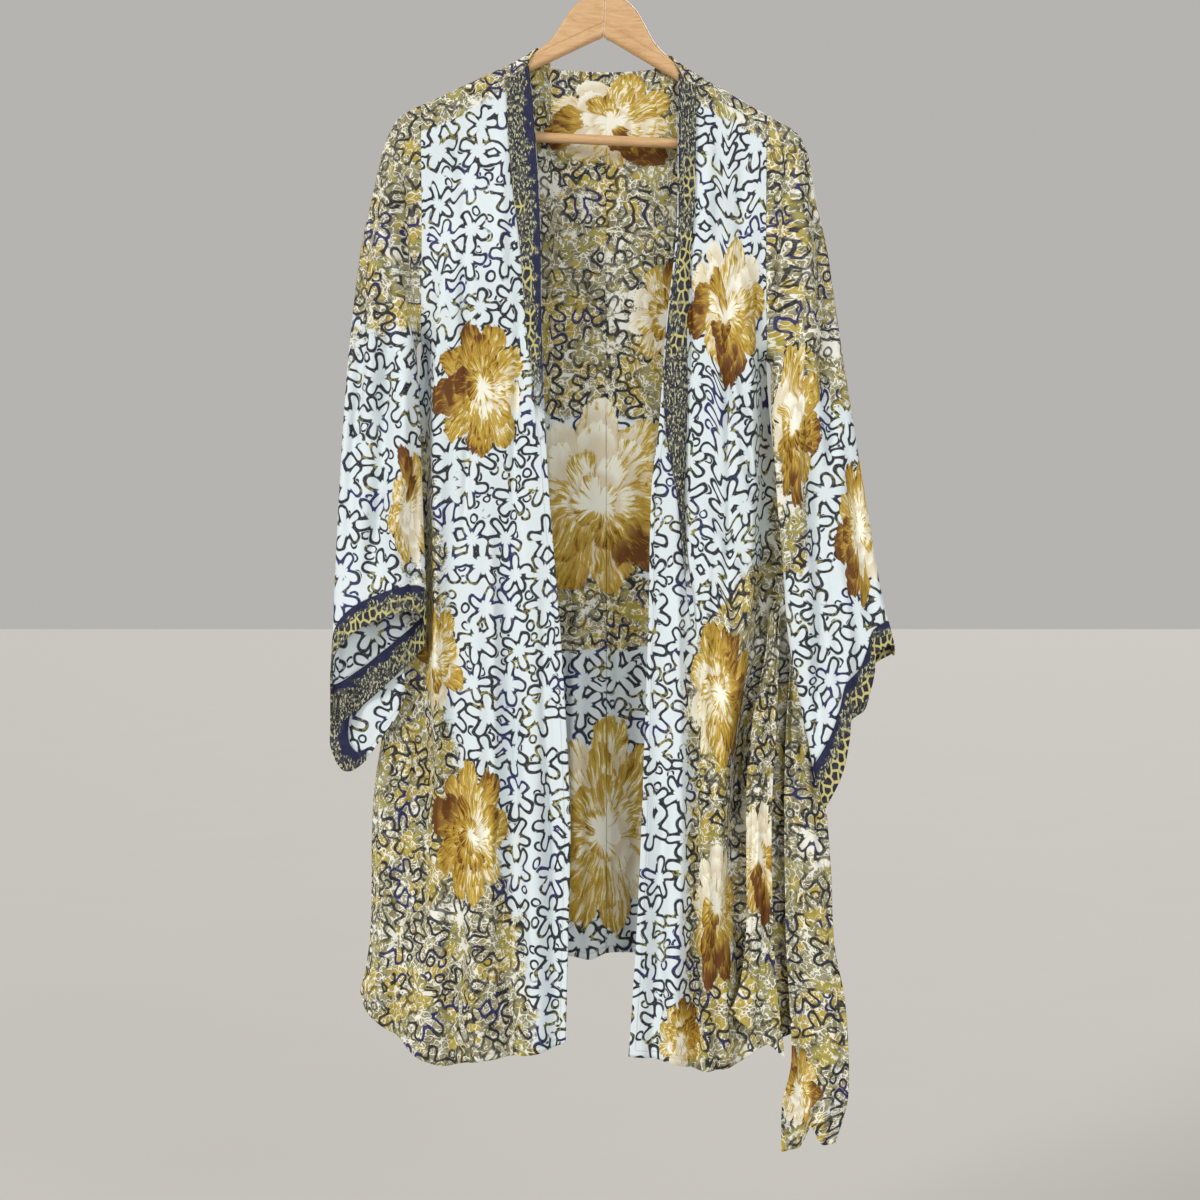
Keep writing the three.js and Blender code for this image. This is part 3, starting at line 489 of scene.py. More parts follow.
def sleeve_points(table, creases, alongs):
    """Rows along the sleeve of points round it from the underarm fold over the back to the front."""
    rows = numbered(table)
    around, along = np.meshgrid(np.linspace(0.5, 1.5, AROUND + 1) % 1, alongs)
    inset = np.maximum(-along, 0)
    along = np.maximum(along, 0)
    ox, oz, oy, ix, iz, iy, thick, front, back = [read(rows, along, c) for c in range(1, 10)]
    angle = around * 2 * math.pi
    share = (1 - np.cos(angle)) / 2
    half = np.sqrt((ox - ix) ** 2 + (oz - iz) ** 2 + (oy - iy) ** 2) / 2
    facing = np.where(np.sin(angle) >= 0, -1.0, 1.0)
    rounding = mix(OVER_RADIUS, 9, smooth(0.3, 0.6, along))
    depth = ring_depth(share * 2 * half, half, thick, rounding, 0)
    x = mix(ox, ix, share)
    y = mix(oy, iy, share)
    z = mix(oz, iz, share)
    left = table is SLEEVE_LEFT
    power = np.where((facing < 0) & left, 0.3, 0.7)
    edge = np.maximum(np.abs(np.sin(angle)), 0 if left else 0.14) ** power
    ahead = np.where(facing < 0, 1.0, 0.0) if left else (1 + np.clip(np.sin(angle) / 0.3, -1, 1)) / 2
    rise = mix(-back * (0.12 if left else 1), front, ahead)
    z = z + rise * edge * mix(1, 0.5, share)
    if not left:
        bend = smooth(0.82, 1, along) * smooth(0, 0.04, share)
        x = x + bend * read(CUFF_BENDS, share, 1)
        z = z + bend * read(CUFF_BENDS, share, 2)
    wave = smooth(0.3, 1, along) * np.abs(np.sin(angle))
    y = y + facing * depth + 3.5 * wave * np.sin(share * 13 + along * 3 + facing)
    inside = smooth(0, 0.5, np.abs(np.sin(angle))) * smooth(0.02, 0.14, along)
    detail = crease_depth(creases, x, z) + ripple(x, z, 1.0)
    other = crease_depth(creases, x + 9, z - 40) * 0.7 + ripple(x + 30, z, 1.0)
    y = y + inside * np.where(facing < 0, detail, -other)
    y = y * (1 - 1.5 * inset)
    z = z - np.sign(np.cos(angle)) * 1.3 * (inset > 0)
    x = x - math.copysign(1.0, table[0][0]) * 100 * inset
    return np.stack([x, y, z], -1)


def sleeve_flat(points, sign):
    """Flat places of a sleeve, across from its outer fold, turning back a little way behind it."""
    level = points * np.array([1.0, 1.0, 0.0])
    gone = lengths(level, 1)
    middle = points.shape[1] // 2
    gone = gone - gone[:, middle : middle + 1]
    turn = gone[:, middle - BEHIND_FOLD : middle - BEHIND_FOLD + 1]
    gone = np.where(gone < turn, 2 * turn - gone, gone)
    across = points[:, middle : middle + 1, 0] - sign * gone
    return np.stack([across, points[..., 2]], -1)


def sash_points(table, notch):
    rows = numbered(table)
    u, v = shares_of(SASH_GRID)
    ax, az, bx, bz, y, fold = [read(rows, v, c) for c in range(1, 7)]
    x = mix(ax, bx, u)
    lift = notch * smooth(0.8, 1, v) * np.exp(-(((u - 0.45) / 0.12) ** 2))
    z = mix(az, bz, u) + lift
    y = y + fold * 0.5 * np.sin(u * 9 + v * 2)
    free = smooth(0.05, 0.2, v)
    y = y + free * 1.3 * np.sin(u * 23 + v * 9 + 1) * np.sin(v * 21 + u * 4)
    return np.stack([x, y, z], -1)


def lengths(points, axis):
    """Running length along an axis of a grid, from its first row or column."""
    gaps = np.linalg.norm(np.diff(points, axis=axis), axis=-1)
    start = np.zeros_like(np.take(gaps, [0], axis=axis))
    return np.cumsum(np.concatenate([start, gaps], axis=axis), axis=axis)


def flat_places(points, sign):
    """Each point's place on the flat cloth in millimetres, across and down."""
    across = sign * lengths(points, 1) + points[:, :1, 0]
    down = lengths(points, 0)
    height = points[-1:, :, 2] + (down[-1:] - down)
    return np.stack([across, height], -1)


def normals_of(points, wrap):
    if wrap:
        ring = points[:, :-1]
        across = np.roll(ring, -1, axis=1) - np.roll(ring, 1, axis=1)
        across = np.concatenate([across, across[:, :1]], axis=1)
    else:
        across = np.gradient(points, axis=1)
    down = np.gradient(points, axis=0)
    found = np.cross(across, down)
    size = np.linalg.norm(found, axis=-1, keepdims=True)
    return found / np.maximum(size, 1e-9)


def free_edge(points, edges):
    """Distance of every point from the nearest of the free edges named, 99 at most."""
    across = lengths(points, 1)
    down = lengths(points, 0)
    ways = {"left": across, "right": across[:, -1:] - across, "top": down, "bottom": down[-1:] - down}
    return np.minimum.reduce([np.full(points.shape[:2], 99.0)] + [ways[edge] for edge in edges])


def ridden(name, mesh):
    mesh.shade_smooth()
    piece = bpy.data.objects.new(name, mesh)
    bpy.context.scene.collection.objects.link(piece)
    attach(piece, "root")
    return piece


def shell(name, points, flat, ground, edge, thickness, out=0.0, wrap=False):
    """A closed thin shell about a grid of middle points, with its cloth and zone coordinates."""
    normal = normals_of(points, wrap)
    half = np.broadcast_to(np.asarray(thickness, float) / 2, points.shape[:2])[..., None]
    outer = points + normal * (out + half)
    inner = points + normal * (out - half)
    rows, columns = points.shape[:2]
    across = columns - 1 if wrap else columns
    places = np.concatenate([outer[:, :across].reshape(-1, 3), inner[:, :across].reshape(-1, 3)])
    grid = np.arange(rows * columns).reshape(rows, columns)
    vertex = (np.arange(rows)[:, None] * across + (np.arange(columns) % across)[None, :]).reshape(-1)
    one_side = np.stack([grid[:-1, :-1], grid[:-1, 1:], grid[1:, 1:], grid[1:, :-1]], -1).reshape(-1, 4)
    size = rows * columns
    quads = [one_side, one_side[:, ::-1] + size]
    ends = [(grid[0, 1:], grid[0, :-1]), (grid[-1, :-1], grid[-1, 1:])]
    if not wrap:
        ends = ends + [(grid[:-1, 0], grid[1:, 0]), (grid[1:, -1], grid[:-1, -1])]
    for first, second in ends:
        quads.append(np.stack([first, second, second + size, first + size], -1))
    quads = np.concatenate(quads)
    faces = np.concatenate([vertex, vertex + rows * across])[quads]
    p = places[faces[:, :3]]
    if np.einsum("ij,ij->", p[:, 0], np.cross(p[:, 1], p[:, 2])) < 0:
        faces = faces[:, ::-1]
        quads = quads[:, ::-1]
    mesh = bpy.data.meshes.new(name)
    mesh.from_pydata((places / MILLI).tolist(), [], faces.tolist())
    cloth = flat.reshape(-1, 2) / MILLI
    zone = np.stack([ground.reshape(-1), edge.reshape(-1) / MILLI], -1)
    for label, values in (("cloth", cloth), ("zone", zone)):
        layer = mesh.uv_layers.new(name=label)
        both = np.concatenate([values, values])
        layer.data.foreach_set("uv", both[quads.reshape(-1)].astype(np.float32).reshape(-1))
    return ridden(name, mesh)


# Node building
def operator(name, swapped=False):
    """An arithmetic sign between a node's value and another value."""

    def made(self, other):
        pair = (other, self) if swapped else (self, other)
        return self.nodes.math(name, *pair)

    return made


class Value:
    """What a node gives, with arithmetic signs that add further nodes."""

    __add__ = operator("ADD")
    __sub__ = operator("SUBTRACT")
    __rsub__ = operator("SUBTRACT", True)
    __mul__ = operator("MULTIPLY")
    __truediv__ = operator("DIVIDE")

    def __init__(self, nodes, socket):
        self.nodes = nodes
        self.socket = socket

    def __abs__(self):
        return self.nodes.math("ABSOLUTE", self)


class Nodes:
    """Short ways to add nodes to a tree."""

    def __init__(self, tree):
        self.tree = tree

    def plug(self, socket, value):
        if isinstance(value, Value):
            self.tree.links.new(value.socket, socket)
        else:
            socket.default_value = value

    def fill(self, node, inputs):
        for label, value in inputs.items():
            self.plug(node.inputs[label], value)

    def node(self, kind, inputs, **settings):
        node = self.tree.nodes.new(kind)
        for label, value in settings.items():
            setattr(node, label, value)
        self.fill(node, inputs)
        return node

    def add(self, kind, inputs, **settings):
        """Adds a node and gives its outputs by name."""
        node = self.node(kind, inputs, **settings)
        return {socket.name: Value(self, socket) for socket in node.outputs}

    def math(self, operation, *values):
        """A math node, or a vector math node where one of the values is a vector or a colour."""
        kinds = [value.socket.type if isinstance(value, Value) else type(value) for value in values]
        vector = any(kind in ("VECTOR", "RGBA", tuple) for kind in kinds)
        node = self.node("ShaderNodeVectorMath" if vector else "ShaderNodeMath", {}, operation=operation)
        for socket, value in zip(node.inputs, values):
            if vector and isinstance(value, float):
                value = (value, value, value)
            self.plug(socket, value)
        return Value(self, node.outputs["Value" if operation == "LENGTH" else 0])

    def split(self, vector):
        made = self.add("ShaderNodeSeparateXYZ", {"Vector": vector})
        return made["X"], made["Y"], made["Z"]

    def join(self, x, y, z):
        return self.add("ShaderNodeCombineXYZ", {"X": x, "Y": y, "Z": z})["Vector"]

    def rise(self, value, low, high, start=0.0, end=1.0):
        """0 below low, 1 above high, smooth between."""
        inputs = {"Value": value, "From Min": low, "From Max": high, "To Min": start, "To Max": end}
        return self.add("ShaderNodeMapRange", inputs, interpolation_type="SMOOTHSTEP")["Result"]

    def fall(self, value, low, high):
        """1 below low, 0 above high, smooth between."""
        return self.rise(value, low, high, 1.0, 0.0)

    def blend(self, factor, first, second, kind="RGBA", at=6):
        """Between two colours; at is the number of the first one's input."""
        node = self.node("ShaderNodeMix", {}, data_type=kind)
        for number, value in ((0, factor), (at, first), (at + 1, second)):
            self.plug(node.inputs[number], value)
        return Value(self, node.outputs[at // 2 - 1])

    def choose(self, factor, first, second):
        """Between two vectors."""
        return self.blend(factor, first, second, "VECTOR", 4)

    def noise(self, vector, scale, detail=2.0, roughness=0.5, out="Fac"):
        inputs = {"Vector": vector, "Scale": scale, "Detail": detail, "Roughness": roughness}
        return self.add("ShaderNodeTexNoise", inputs)[out]

    def voronoi(self, vector, scale, randomness, feature="F1"):
        inputs = {"Vector": vector, "Scale": scale, "Randomness": randomness}
        return self.add("ShaderNodeTexVoronoi", inputs, feature=feature, voronoi_dimensions="2D")

    def warped(self, vector, scale, amount):
        """The vector moved by a smooth noise of that scale, up to about half the amount."""
        away = self.noise(vector, scale, 1.0, 0.5, "Color") - (0.5, 0.5, 0.5)
        return vector + away * amount

    def ramp(self, factor, stops):
        node = self.node("ShaderNodeValToRGB", {"Fac": factor})
        ramp = node.color_ramp
        while len(ramp.elements) < len(stops):
            ramp.elements.new(0.5)
        for element, (place, colour) in zip(ramp.elements, stops):
            element.position = place
            element.color = colour
        return Value(self, node.outputs["Color"])

    def place(self):
        return self.add("ShaderNodeTexCoord", {})["Object"]

    def uv(self, name):
        return self.add("ShaderNodeUVMap", {}, uv_map=name)["UV"]

    def bump(self, height, strength, distance):
        inputs = {"Height": height, "Strength": strength, "Distance": distance}
        return self.add("ShaderNodeBump", inputs)["Normal"]


def shade(red, green, blue):
    """Display colour as the linear colour that nodes use."""
    linear = [c / 12.92 if c <= 0.04045 else ((c + 0.055) / 1.055) ** 2.4 for c in (red, green, blue)]
    return (*linear, 1.0)


WHITE = shade(0.83, 0.87, 0.885)
NAVY = shade(0.06, 0.08, 0.12)
DEEP_BLUE = shade(0.09, 0.10, 0.33)
LINE_YELLOW = shade(0.60, 0.56, 0.24)
LIGHT_TAUPE = shade(0.59, 0.57, 0.445)
TAUPE = shade(0.49, 0.465, 0.33)
DARK_TAUPE = shade(0.33, 0.31, 0.22)
OCHRE = shade(0.695, 0.61, 0.24)
PALE = shade(0.92, 0.92, 0.88)
CREAM = shade(0.925, 0.92, 0.86)
LIGHT_GOLD = shade(0.87, 0.80, 0.55)
GOLD = shade(0.745, 0.645, 0.28)
DEEP_GOLD = shade(0.64, 0.50, 0.14)
BROWN = shade(0.38, 0.22, 0.06)
SHADE_GOLD = shade(0.72, 0.58, 0.28)


def new_group(name, inputs, outputs):
    """A node group's nodes, with its inputs as values by name, and its output node."""
    tree = bpy.data.node_groups.new(name, "ShaderNodeTree")
    for in_out, sockets in (("INPUT", inputs), ("OUTPUT", outputs)):
        for label, kind in sockets.items():
            tree.interface.new_socket(label, in_out=in_out, socket_type="NodeSocket" + kind)
    g = Nodes(tree)
    return g, g.add("NodeGroupInput", {}), g.node("NodeGroupOutput", {})


STAR_PITCH = 0.0415  # metres from one star-like cell to the next
STAR_RADIUS = 0.0172
STAR_ARMS = 5
STAR_DEPTH = 0.38
STAR_SQUARE = 1.0  # the smaller, the blunter the arms
STAR_JOIN = 0.0035  # how roundly neighbouring stars run into each other
LINE_HALF = 0.0020
RING_SCALE = 62.0  # how close the cells lie whose middles have small rings
RING_RADIUS = 0.27


def star_distance(g, place, feature):
    """Distance beyond a wavy star's outline about the nearest or second nearest cell's centre."""
    cell = g.voronoi(place, 1 / STAR_PITCH, 0.5, feature)
    x, y, _ = g.split(place - cell["Position"])
    radius = g.math("SQRT", x * x + y * y)
    chance, other, _ = g.split(cell["Color"])
    angle = g.math("ARCTAN2", y, x) * float(STAR_ARMS) + chance * (2 * math.pi)
    size = other * (0.16 * STAR_RADIUS) + 0.92 * STAR_RADIUS
    wave = g.math("COSINE", angle)
    under = wave * wave + STAR_SQUARE
    squared = wave * math.sqrt(1 + STAR_SQUARE) / g.math("SQRT", under)
    beyond = radius - size * (squared * STAR_DEPTH + 1.0)
    turning = STAR_RADIUS * STAR_DEPTH * STAR_ARMS * STAR_SQUARE * math.sqrt(1 + STAR_SQUARE)
    steep = g.math("SINE", angle) * turning / g.math("POWER", under, 1.5)
    steep = steep / g.math("MAXIMUM", radius, 0.010)
    return beyond / g.math("SQRT", steep * steep + 1.0)


def line_group():
    """A wandering line: outlines of wavy stars that run into each other, with loops between them."""
    g, given, made = new_group("wandering_line", {"Cloth": "Vector"}, {"Line": "Float"})
    cloth = given["Cloth"]
    place = g.warped(g.warped(cloth, 26.0, 0.014), 80.0, 0.0025)
    first = star_distance(g, place, "F1")
    beyond = g.math("SMOOTH_MIN", first, star_distance(g, place, "F2"), STAR_JOIN)
    line = g.fall(abs(beyond), LINE_HALF * 0.6, LINE_HALF * 1.15)
    rings = g.voronoi(place, RING_SCALE, 0.6)
    some, _, _ = g.split(rings["Color"])
    ring = g.fall(abs(rings["Distance"] - RING_RADIUS), 0.06, 0.10) * g.math("GREATER_THAN", some, 0.45)
    line = g.math("MAXIMUM", line, ring * g.rise(beyond, 0.0018, 0.003))
    broken = g.rise(g.noise(cloth, 40.0), 0.30, 0.35)
    fibre = g.rise(g.noise(cloth * (1.0, 1.6, 1.0), 520.0), 0.30, 0.55)
    g.fill(made, {"Line": line * broken * (fibre * 0.12 + 0.88)})
    return g.tree


def ground_group(lines):
    """The cloth between the flowers: cool white or olive, with lines, scribbles and blotches."""
    inputs = {"Cloth": "Vector", "Olive": "Float"}
    g, given, made = new_group("print_ground", inputs, {"Color": "Color"})
    cloth = given["Cloth"]
    line = g.add("ShaderNodeGroup", {"Cloth": cloth}, node_tree=lines)["Line"]
    wide = g.noise(cloth, 14.0, 2.0, 0.6) - 0.5
    ragged = g.noise(cloth, 60.0, 4.0, 0.75) - 0.5
    olive = g.rise(wide * 1.1 + given["Olive"] + ragged * 1.4, 0.40, 0.60)
    patch = g.noise(cloth, 20.0)
    ink = g.blend(g.rise(patch, 0.55, 0.62), NAVY, DEEP_BLUE)
    yellow = g.rise(g.noise(cloth + (0.3, 0.7, 0.0), 26.0), 0.54, 0.62)
    fine = g.rise(g.noise(cloth, 240.0), 0.45, 0.60)
    white = g.blend(line, WHITE, g.blend(yellow * fine * 0.9, ink, LINE_YELLOW))
    mottled = g.noise(cloth, 60.0, 4.0, 0.6)
    base = g.blend(g.rise(mottled, 0.40, 0.64), LIGHT_TAUPE, TAUPE)
    base = g.blend(g.rise(mottled, 0.58, 0.72) * 0.7, base, DARK_TAUPE)
    region = g.noise(cloth + (0.2, 0.4, 0.0), 11.0, 2.0, 0.6)
    spots = g.voronoi(g.warped(cloth, 60.0, 0.016), 40.0, 0.9)["Distance"]
    reach = g.rise(region, 0.42, 0.62) * 0.42 + 0.16
    base = g.blend(g.rise(reach - spots, 0.0, 0.10) * 0.85, base, OCHRE)
    rims = g.fall(abs(spots - 0.44), 0.02, 0.05) * g.rise(mottled, 0.44, 0.52)
    base = g.blend(rims * 0.55, base, DARK_TAUPE)
    scribble = g.fall(abs(g.noise(cloth, 75.0, 1.0) - 0.5), 0.010, 0.026)
    second = g.fall(abs(g.noise(cloth, 125.0, 1.0) - 0.47), 0.01, 0.026)
    drops = g.noise(cloth + (0.9, 0.1, 0.0), 26.0, 6.0, 0.78) + (0.5 - region) * 0.7
    pale = g.math("MAXIMUM", g.math("MAXIMUM", scribble, second), g.rise(drops, 0.58, 0.63))
    base = g.blend(pale * 0.88, base, PALE)
    strength = g.rise(patch, 0.36, 0.52) * 0.24 + 0.74
    olive_ground = g.blend(line * strength, base, g.blend(yellow, ink, LINE_YELLOW))
    g.fill(made, {"Color": g.blend(olive, white, olive_ground)})
    return g.tree


# Count, reach and turn of each layer of petals
PETALS = ((9.0, 1.0, 0.0), (8.0, 0.76, 0.35), (6.0, 0.53, 0.8), (5.0, 0.30, 0.5))
PETAL_TONES = (
    (0.0, CREAM), (0.42, CREAM), (0.50, LIGHT_GOLD), (0.57, GOLD), (0.82, DEEP_GOLD), (1.0, BROWN),
)


def bloom_group():
    """A many petalled flower in a unit circle, its deep side towards +X, painted in dry strokes."""
    outputs = {"Mask": "Float", "Color": "Color"}
    g, given, made = new_group("bloom", {"Place": "Vector", "Seed": "Float"}, outputs)
    seed = given["Seed"]
    shifted = given["Place"] + g.join(seed, 0.0, seed)
    wander = g.noise(shifted, 2.4, 2.0, 0.5, "Color") - (0.5, 0.5, 0.5)
    x, y, _ = g.split(given["Place"] + wander * 0.26)
    radius = g.math("SQRT", x * x + y * y)
    angle = g.math("ARCTAN2", y, x)
    side = x / g.math("MAXIMUM", radius, 0.05)
    ragged = (g.noise(shifted, 11.0, 4.0, 0.7) - 0.5) * 0.26
    for number, (count, reach, turn) in enumerate(PETALS):
        turned = angle * (count / (2 * math.pi)) + turn + seed
        cell = g.math("FLOOR", turned)
        part = turned - cell - 0.5
        key = g.join(g.math("FLOORED_MODULO", cell, count), seed, float(number))
        chance = g.add("ShaderNodeTexWhiteNoise", {"Vector": key}, noise_dimensions="2D")["Value"]
        wide = part * 1.94
        rounding = g.math("SQRT", g.math("MAXIMUM", 1.0 - wide * wide, 0.0))
        edge = (rounding * 0.40 + 0.60) * (chance * (0.26 * reach) + 0.80 * reach) + ragged
        inside = g.rise(edge - radius, 0.0, 0.03)
        strokes = g.join(turned * 4.4, radius * 1.5, float(number * 3))
        streak = g.noise(strokes, 2.4, 5.0, 0.68) - 0.5
        tone = radius / edge * 0.70 - 0.02 + streak * 1.8 + (chance - 0.5) * 0.75 + side * 0.22
        paint = g.ramp(tone, PETAL_TONES)
        veins = g.rise(g.noise(strokes, 5.5, 3.0, 0.6), 0.58, 0.68) * g.rise(tone, 0.42, 0.70)
        paint = g.blend(veins * 0.6, paint, BROWN)
        rim = g.rise(abs(part), 0.40, 0.5) * 0.5 * (g.rise(tone, 0.2, 0.5) * 0.5 + 0.5)
        paint = g.blend(rim, paint, DEEP_GOLD)
        if number < len(PETALS) - 1:
            below = PETALS[number + 1][1]
            paint = g.blend(g.fall(radius, below * 0.85, below * 1.15) * 0.4, paint, SHADE_GOLD)
        colour = g.blend(inside, colour, paint) if number else paint
        mask = g.math("MAXIMUM", mask, inside) if number else inside
    g.fill(made, {"Mask": mask, "Color": g.blend(g.fall(radius, 0.06, 0.12), colour, CREAM)})
    return g.tree


GROUND = ground_group(line_group())
BLOOM = bloom_group()


def new_material(name):
    material = bpy.data.materials.new(name)
    material.use_nodes = True
    return material, Nodes(material.node_tree), material.node_tree.nodes["Principled BSDF"]


STITCH_IN = 0.0072  # metres from a hem's edge to its stitches
CUFF_NET = {-1: (-0.79, -0.30), 1: (-2.0, 2.0)}  # heights between which the cuffs' border has its net
BACK_SIDE = 0.4  # value of zone's V on a sleeve's back, where it is no distance from an edge
BACK_SHIFT = (0.37, 0.11, 0.0)  # how far the print is moved there, so that it isn't the front's mirror


def cloth_grain(g, shader, cloth, edge):
    """Crepe grain, faint crumpling and the stitched line of a hem, with the cloth's dull gloss."""
    grain = g.noise(cloth, 1500.0, 2.0, 0.6)
    crumple = g.noise(cloth * (1.0, 0.35, 1.0), 70.0, 3.0, 0.55)
    groove = g.fall(abs(edge - STITCH_IN), 0.0002, 0.0011) * -0.6
    normal = g.bump(crumple * 2.2 + groove + grain * 0.16, 0.55, 0.0011)
    g.fill(shader, {"Normal": normal, "Specular IOR Level": 0.22, "Sheen Weight": 0.03})
    return grain


def print_material(name, flowers):
    """Printed crepe; a flower is its centre across and up, its layer, its half sizes, turn and seed."""
    material, g, shader = new_material(name)
    cloth = g.uv("cloth")
    olive, edge, _ = g.split(g.uv("zone"))
    layer = g.math("GREATER_THAN", edge, BACK_SIDE / 2)
    inputs = {"Cloth": cloth + layer * BACK_SHIFT, "Olive": olive}
    colour = g.add("ShaderNodeGroup", inputs, node_tree=GROUND)["Color"]
    layered = cloth + g.join(0.0, 0.0, layer)
    nearest = None
    for across, height, wanted, half_width, half_height, turn, seed in flowers:
        away = (layered - (across, height, wanted)) / (half_width, half_height, 0.25)
        inputs = {"Vector": away, "Angle": -math.radians(turn)}
        turned = g.add("ShaderNodeVectorRotate", inputs, rotation_type="Z_AXIS")["Vector"]
        here = turned * (1.0, 1.0, 0.0) + (0.0, 0.0, seed)
        distance = g.math("LENGTH", turned)
        if nearest is None:
            nearest = here
            least = distance
        else:
            nearest = g.choose(g.math("LESS_THAN", distance, least), nearest, here)
            least = g.math("MINIMUM", distance, least)
    if nearest is not None:
        x, y, seed = g.split(nearest)
        inputs = {"Place": g.join(x, y, 0.0), "Seed": seed}
        bloom = g.add("ShaderNodeGroup", inputs, node_tree=BLOOM)
        colour = g.blend(bloom["Mask"] * g.math("LESS_THAN", least, 2.0), colour, bloom["Color"])
    grain = cloth_grain(g, shader, cloth, edge)
    stitch = g.fall(abs(edge - STITCH_IN), 0.0002, 0.0006)
    colour = g.blend(stitch * 0.25, colour, DARK_TAUPE) * (grain * 0.16 + 0.92)
    g.fill(shader, {"Base Color": colour, "Roughness": grain * 0.16 + 0.46, "Sheen Roughness": 0.4})
    return material


def border_material(name, blue_share, net_span, fade_span):
    """Border print: navy and charcoal beside a yellow net with dark ovals; zone's U runs across it.
    The net shows between the heights of net_span, and below fade_span it turns to white ground."""
    material, g, shader = new_material(name)
    cloth = g.uv("cloth")
    across, edge, _ = g.split(g.uv("zone"))
    _, height, _ = g.split(cloth)
    mottled = g.noise(cloth, 120.0, 3.0, 0.65)
    dark = g.blend(g.rise(mottled, 0.46, 0.60), shade(0.14, 0.145, 0.19), shade(0.30, 0.30, 0.28))
    strokes = g.noise(cloth * (1.5, 0.7, 1.0), 300.0, 2.0, 0.6)
    dark = g.blend(g.rise(strokes, 0.52, 0.60) * 0.85, dark, shade(0.74, 0.74, 0.60))
    blue = g.blend(g.rise(mottled, 0.5, 0.7), shade(0.11, 0.125, 0.25), shade(0.17, 0.18, 0.30))
    wander = (g.noise(cloth, 70.0, 3.0) - 0.5) * 1.1 + across
    dark = g.blend(g.fall(wander, blue_share - 0.05, blue_share + 0.05), dark, blue)
    stretched = g.warped(cloth, 80.0, 0.003) * (1.3, 0.8, 1.0)
    cells = g.voronoi(stretched, 108.0, 0.7, "DISTANCE_TO_EDGE")["Distance"]
    oval = g.blend(g.rise(mottled, 0.4, 0.7), shade(0.10, 0.11, 0.17), shade(0.22, 0.22, 0.28))
    net = g.blend(g.fall(cells, 0.09, 0.17), oval, shade(0.74, 0.71, 0.46))
    low, high = net_span
    uneven = (g.noise(cloth, 45.0) - 0.5) * 0.12
    here = height + uneven
    share = g.rise(wander, blue_share + 0.17, blue_share + 0.27)
    share = share * g.rise(here, low - 0.015, low + 0.015) * g.fall(here, high - 0.015, high + 0.015)
    share = share * g.rise(g.noise(cloth, 24.0, 1.0), 0.40, 0.50)
    colour = g.blend(share, dark, net)
    ground = g.add("ShaderNodeGroup", {"Cloth": cloth, "Olive": 0.0}, node_tree=GROUND)
    colour = g.blend(g.fall(uneven * 0.6 + height, *fade_span), colour, ground["Color"])
    grain = cloth_grain(g, shader, cloth, edge)
    g.fill(shader, {"Base Color": colour, "Roughness": grain * 0.16 + 0.48})
    return material


def beech_material():
    material, g, shader = new_material("beech")
    place = g.place()
    slow = place * (9.0, 60.0, 60.0)
    bend = g.noise(slow, 0.8, 2.0, 0.5, "Color") * (0.0, 3.0, 3.0)
    lines = g.noise(slow + bend, 3.2, 4.0, 0.6)
    light = shade(0.85, 0.71, 0.53)
    stops = ((0.25, shade(0.73, 0.56, 0.37)), (0.5, shade(0.80, 0.64, 0.45)), (0.8, light))
    flecks = g.rise(g.noise(place * (90.0, 900.0, 900.0), 1.0), 0.56, 0.70)
    colour = g.blend(flecks * 0.35, g.ramp(lines, stops), shade(0.66, 0.47, 0.28))
    g.fill(shader, {"Base Color": colour, "Roughness": lines * 0.2 + 0.25})
    g.fill(shader, {"Normal": g.bump(lines, 0.12, 0.0005), "Coat Weight": 0.3, "Coat Roughness": 0.2})
    return material


def chrome_material():
    material, g, shader = new_material("chrome")
    worn = g.noise(g.place(), 240.0, 3.0, 0.6)
    colour = g.blend(worn, shade(0.80, 0.81, 0.83), shade(0.70, 0.71, 0.74))
    g.fill(shader, {"Base Color": colour, "Roughness": worn * 0.15 + 0.12, "Metallic": 1.0})
    return material


def thread_material():
    material, g, shader = new_material("loop_cloth")
    twist = g.noise(g.place(), 700.0, 3.0)
    colour = g.ramp(twist, ((0.35, NAVY), (0.5, DARK_TAUPE), (0.7, OCHRE)))
    g.fill(shader, {"Base Color": colour, "Roughness": twist * 0.2 + 0.5})
    return material


# Placing flowers: x, z and half sizes in millimetres as seen from the front, turn in degrees, seed
def placed(points, flat, flowers, usable=True, layer=0.0):
    """Flowers on the flat cloth, from where their centres stand in the front view."""
    found = []
    for x, z, half_width, half_height, turn, seed in flowers:
        gap = np.where(usable, (points[..., 0] - x) ** 2 + (points[..., 2] - z) ** 2, 1e9)
        at = np.unravel_index(np.argmin(gap), gap.shape)
        if gap[at] > (half_width * 1.1) ** 2:
            continue
        across, height = (flat[at] + (x, z) - points[at][[0, 2]]) / MILLI
        found.append((across, height, layer, half_width / MILLI, half_height / MILLI, turn, seed))
    return found


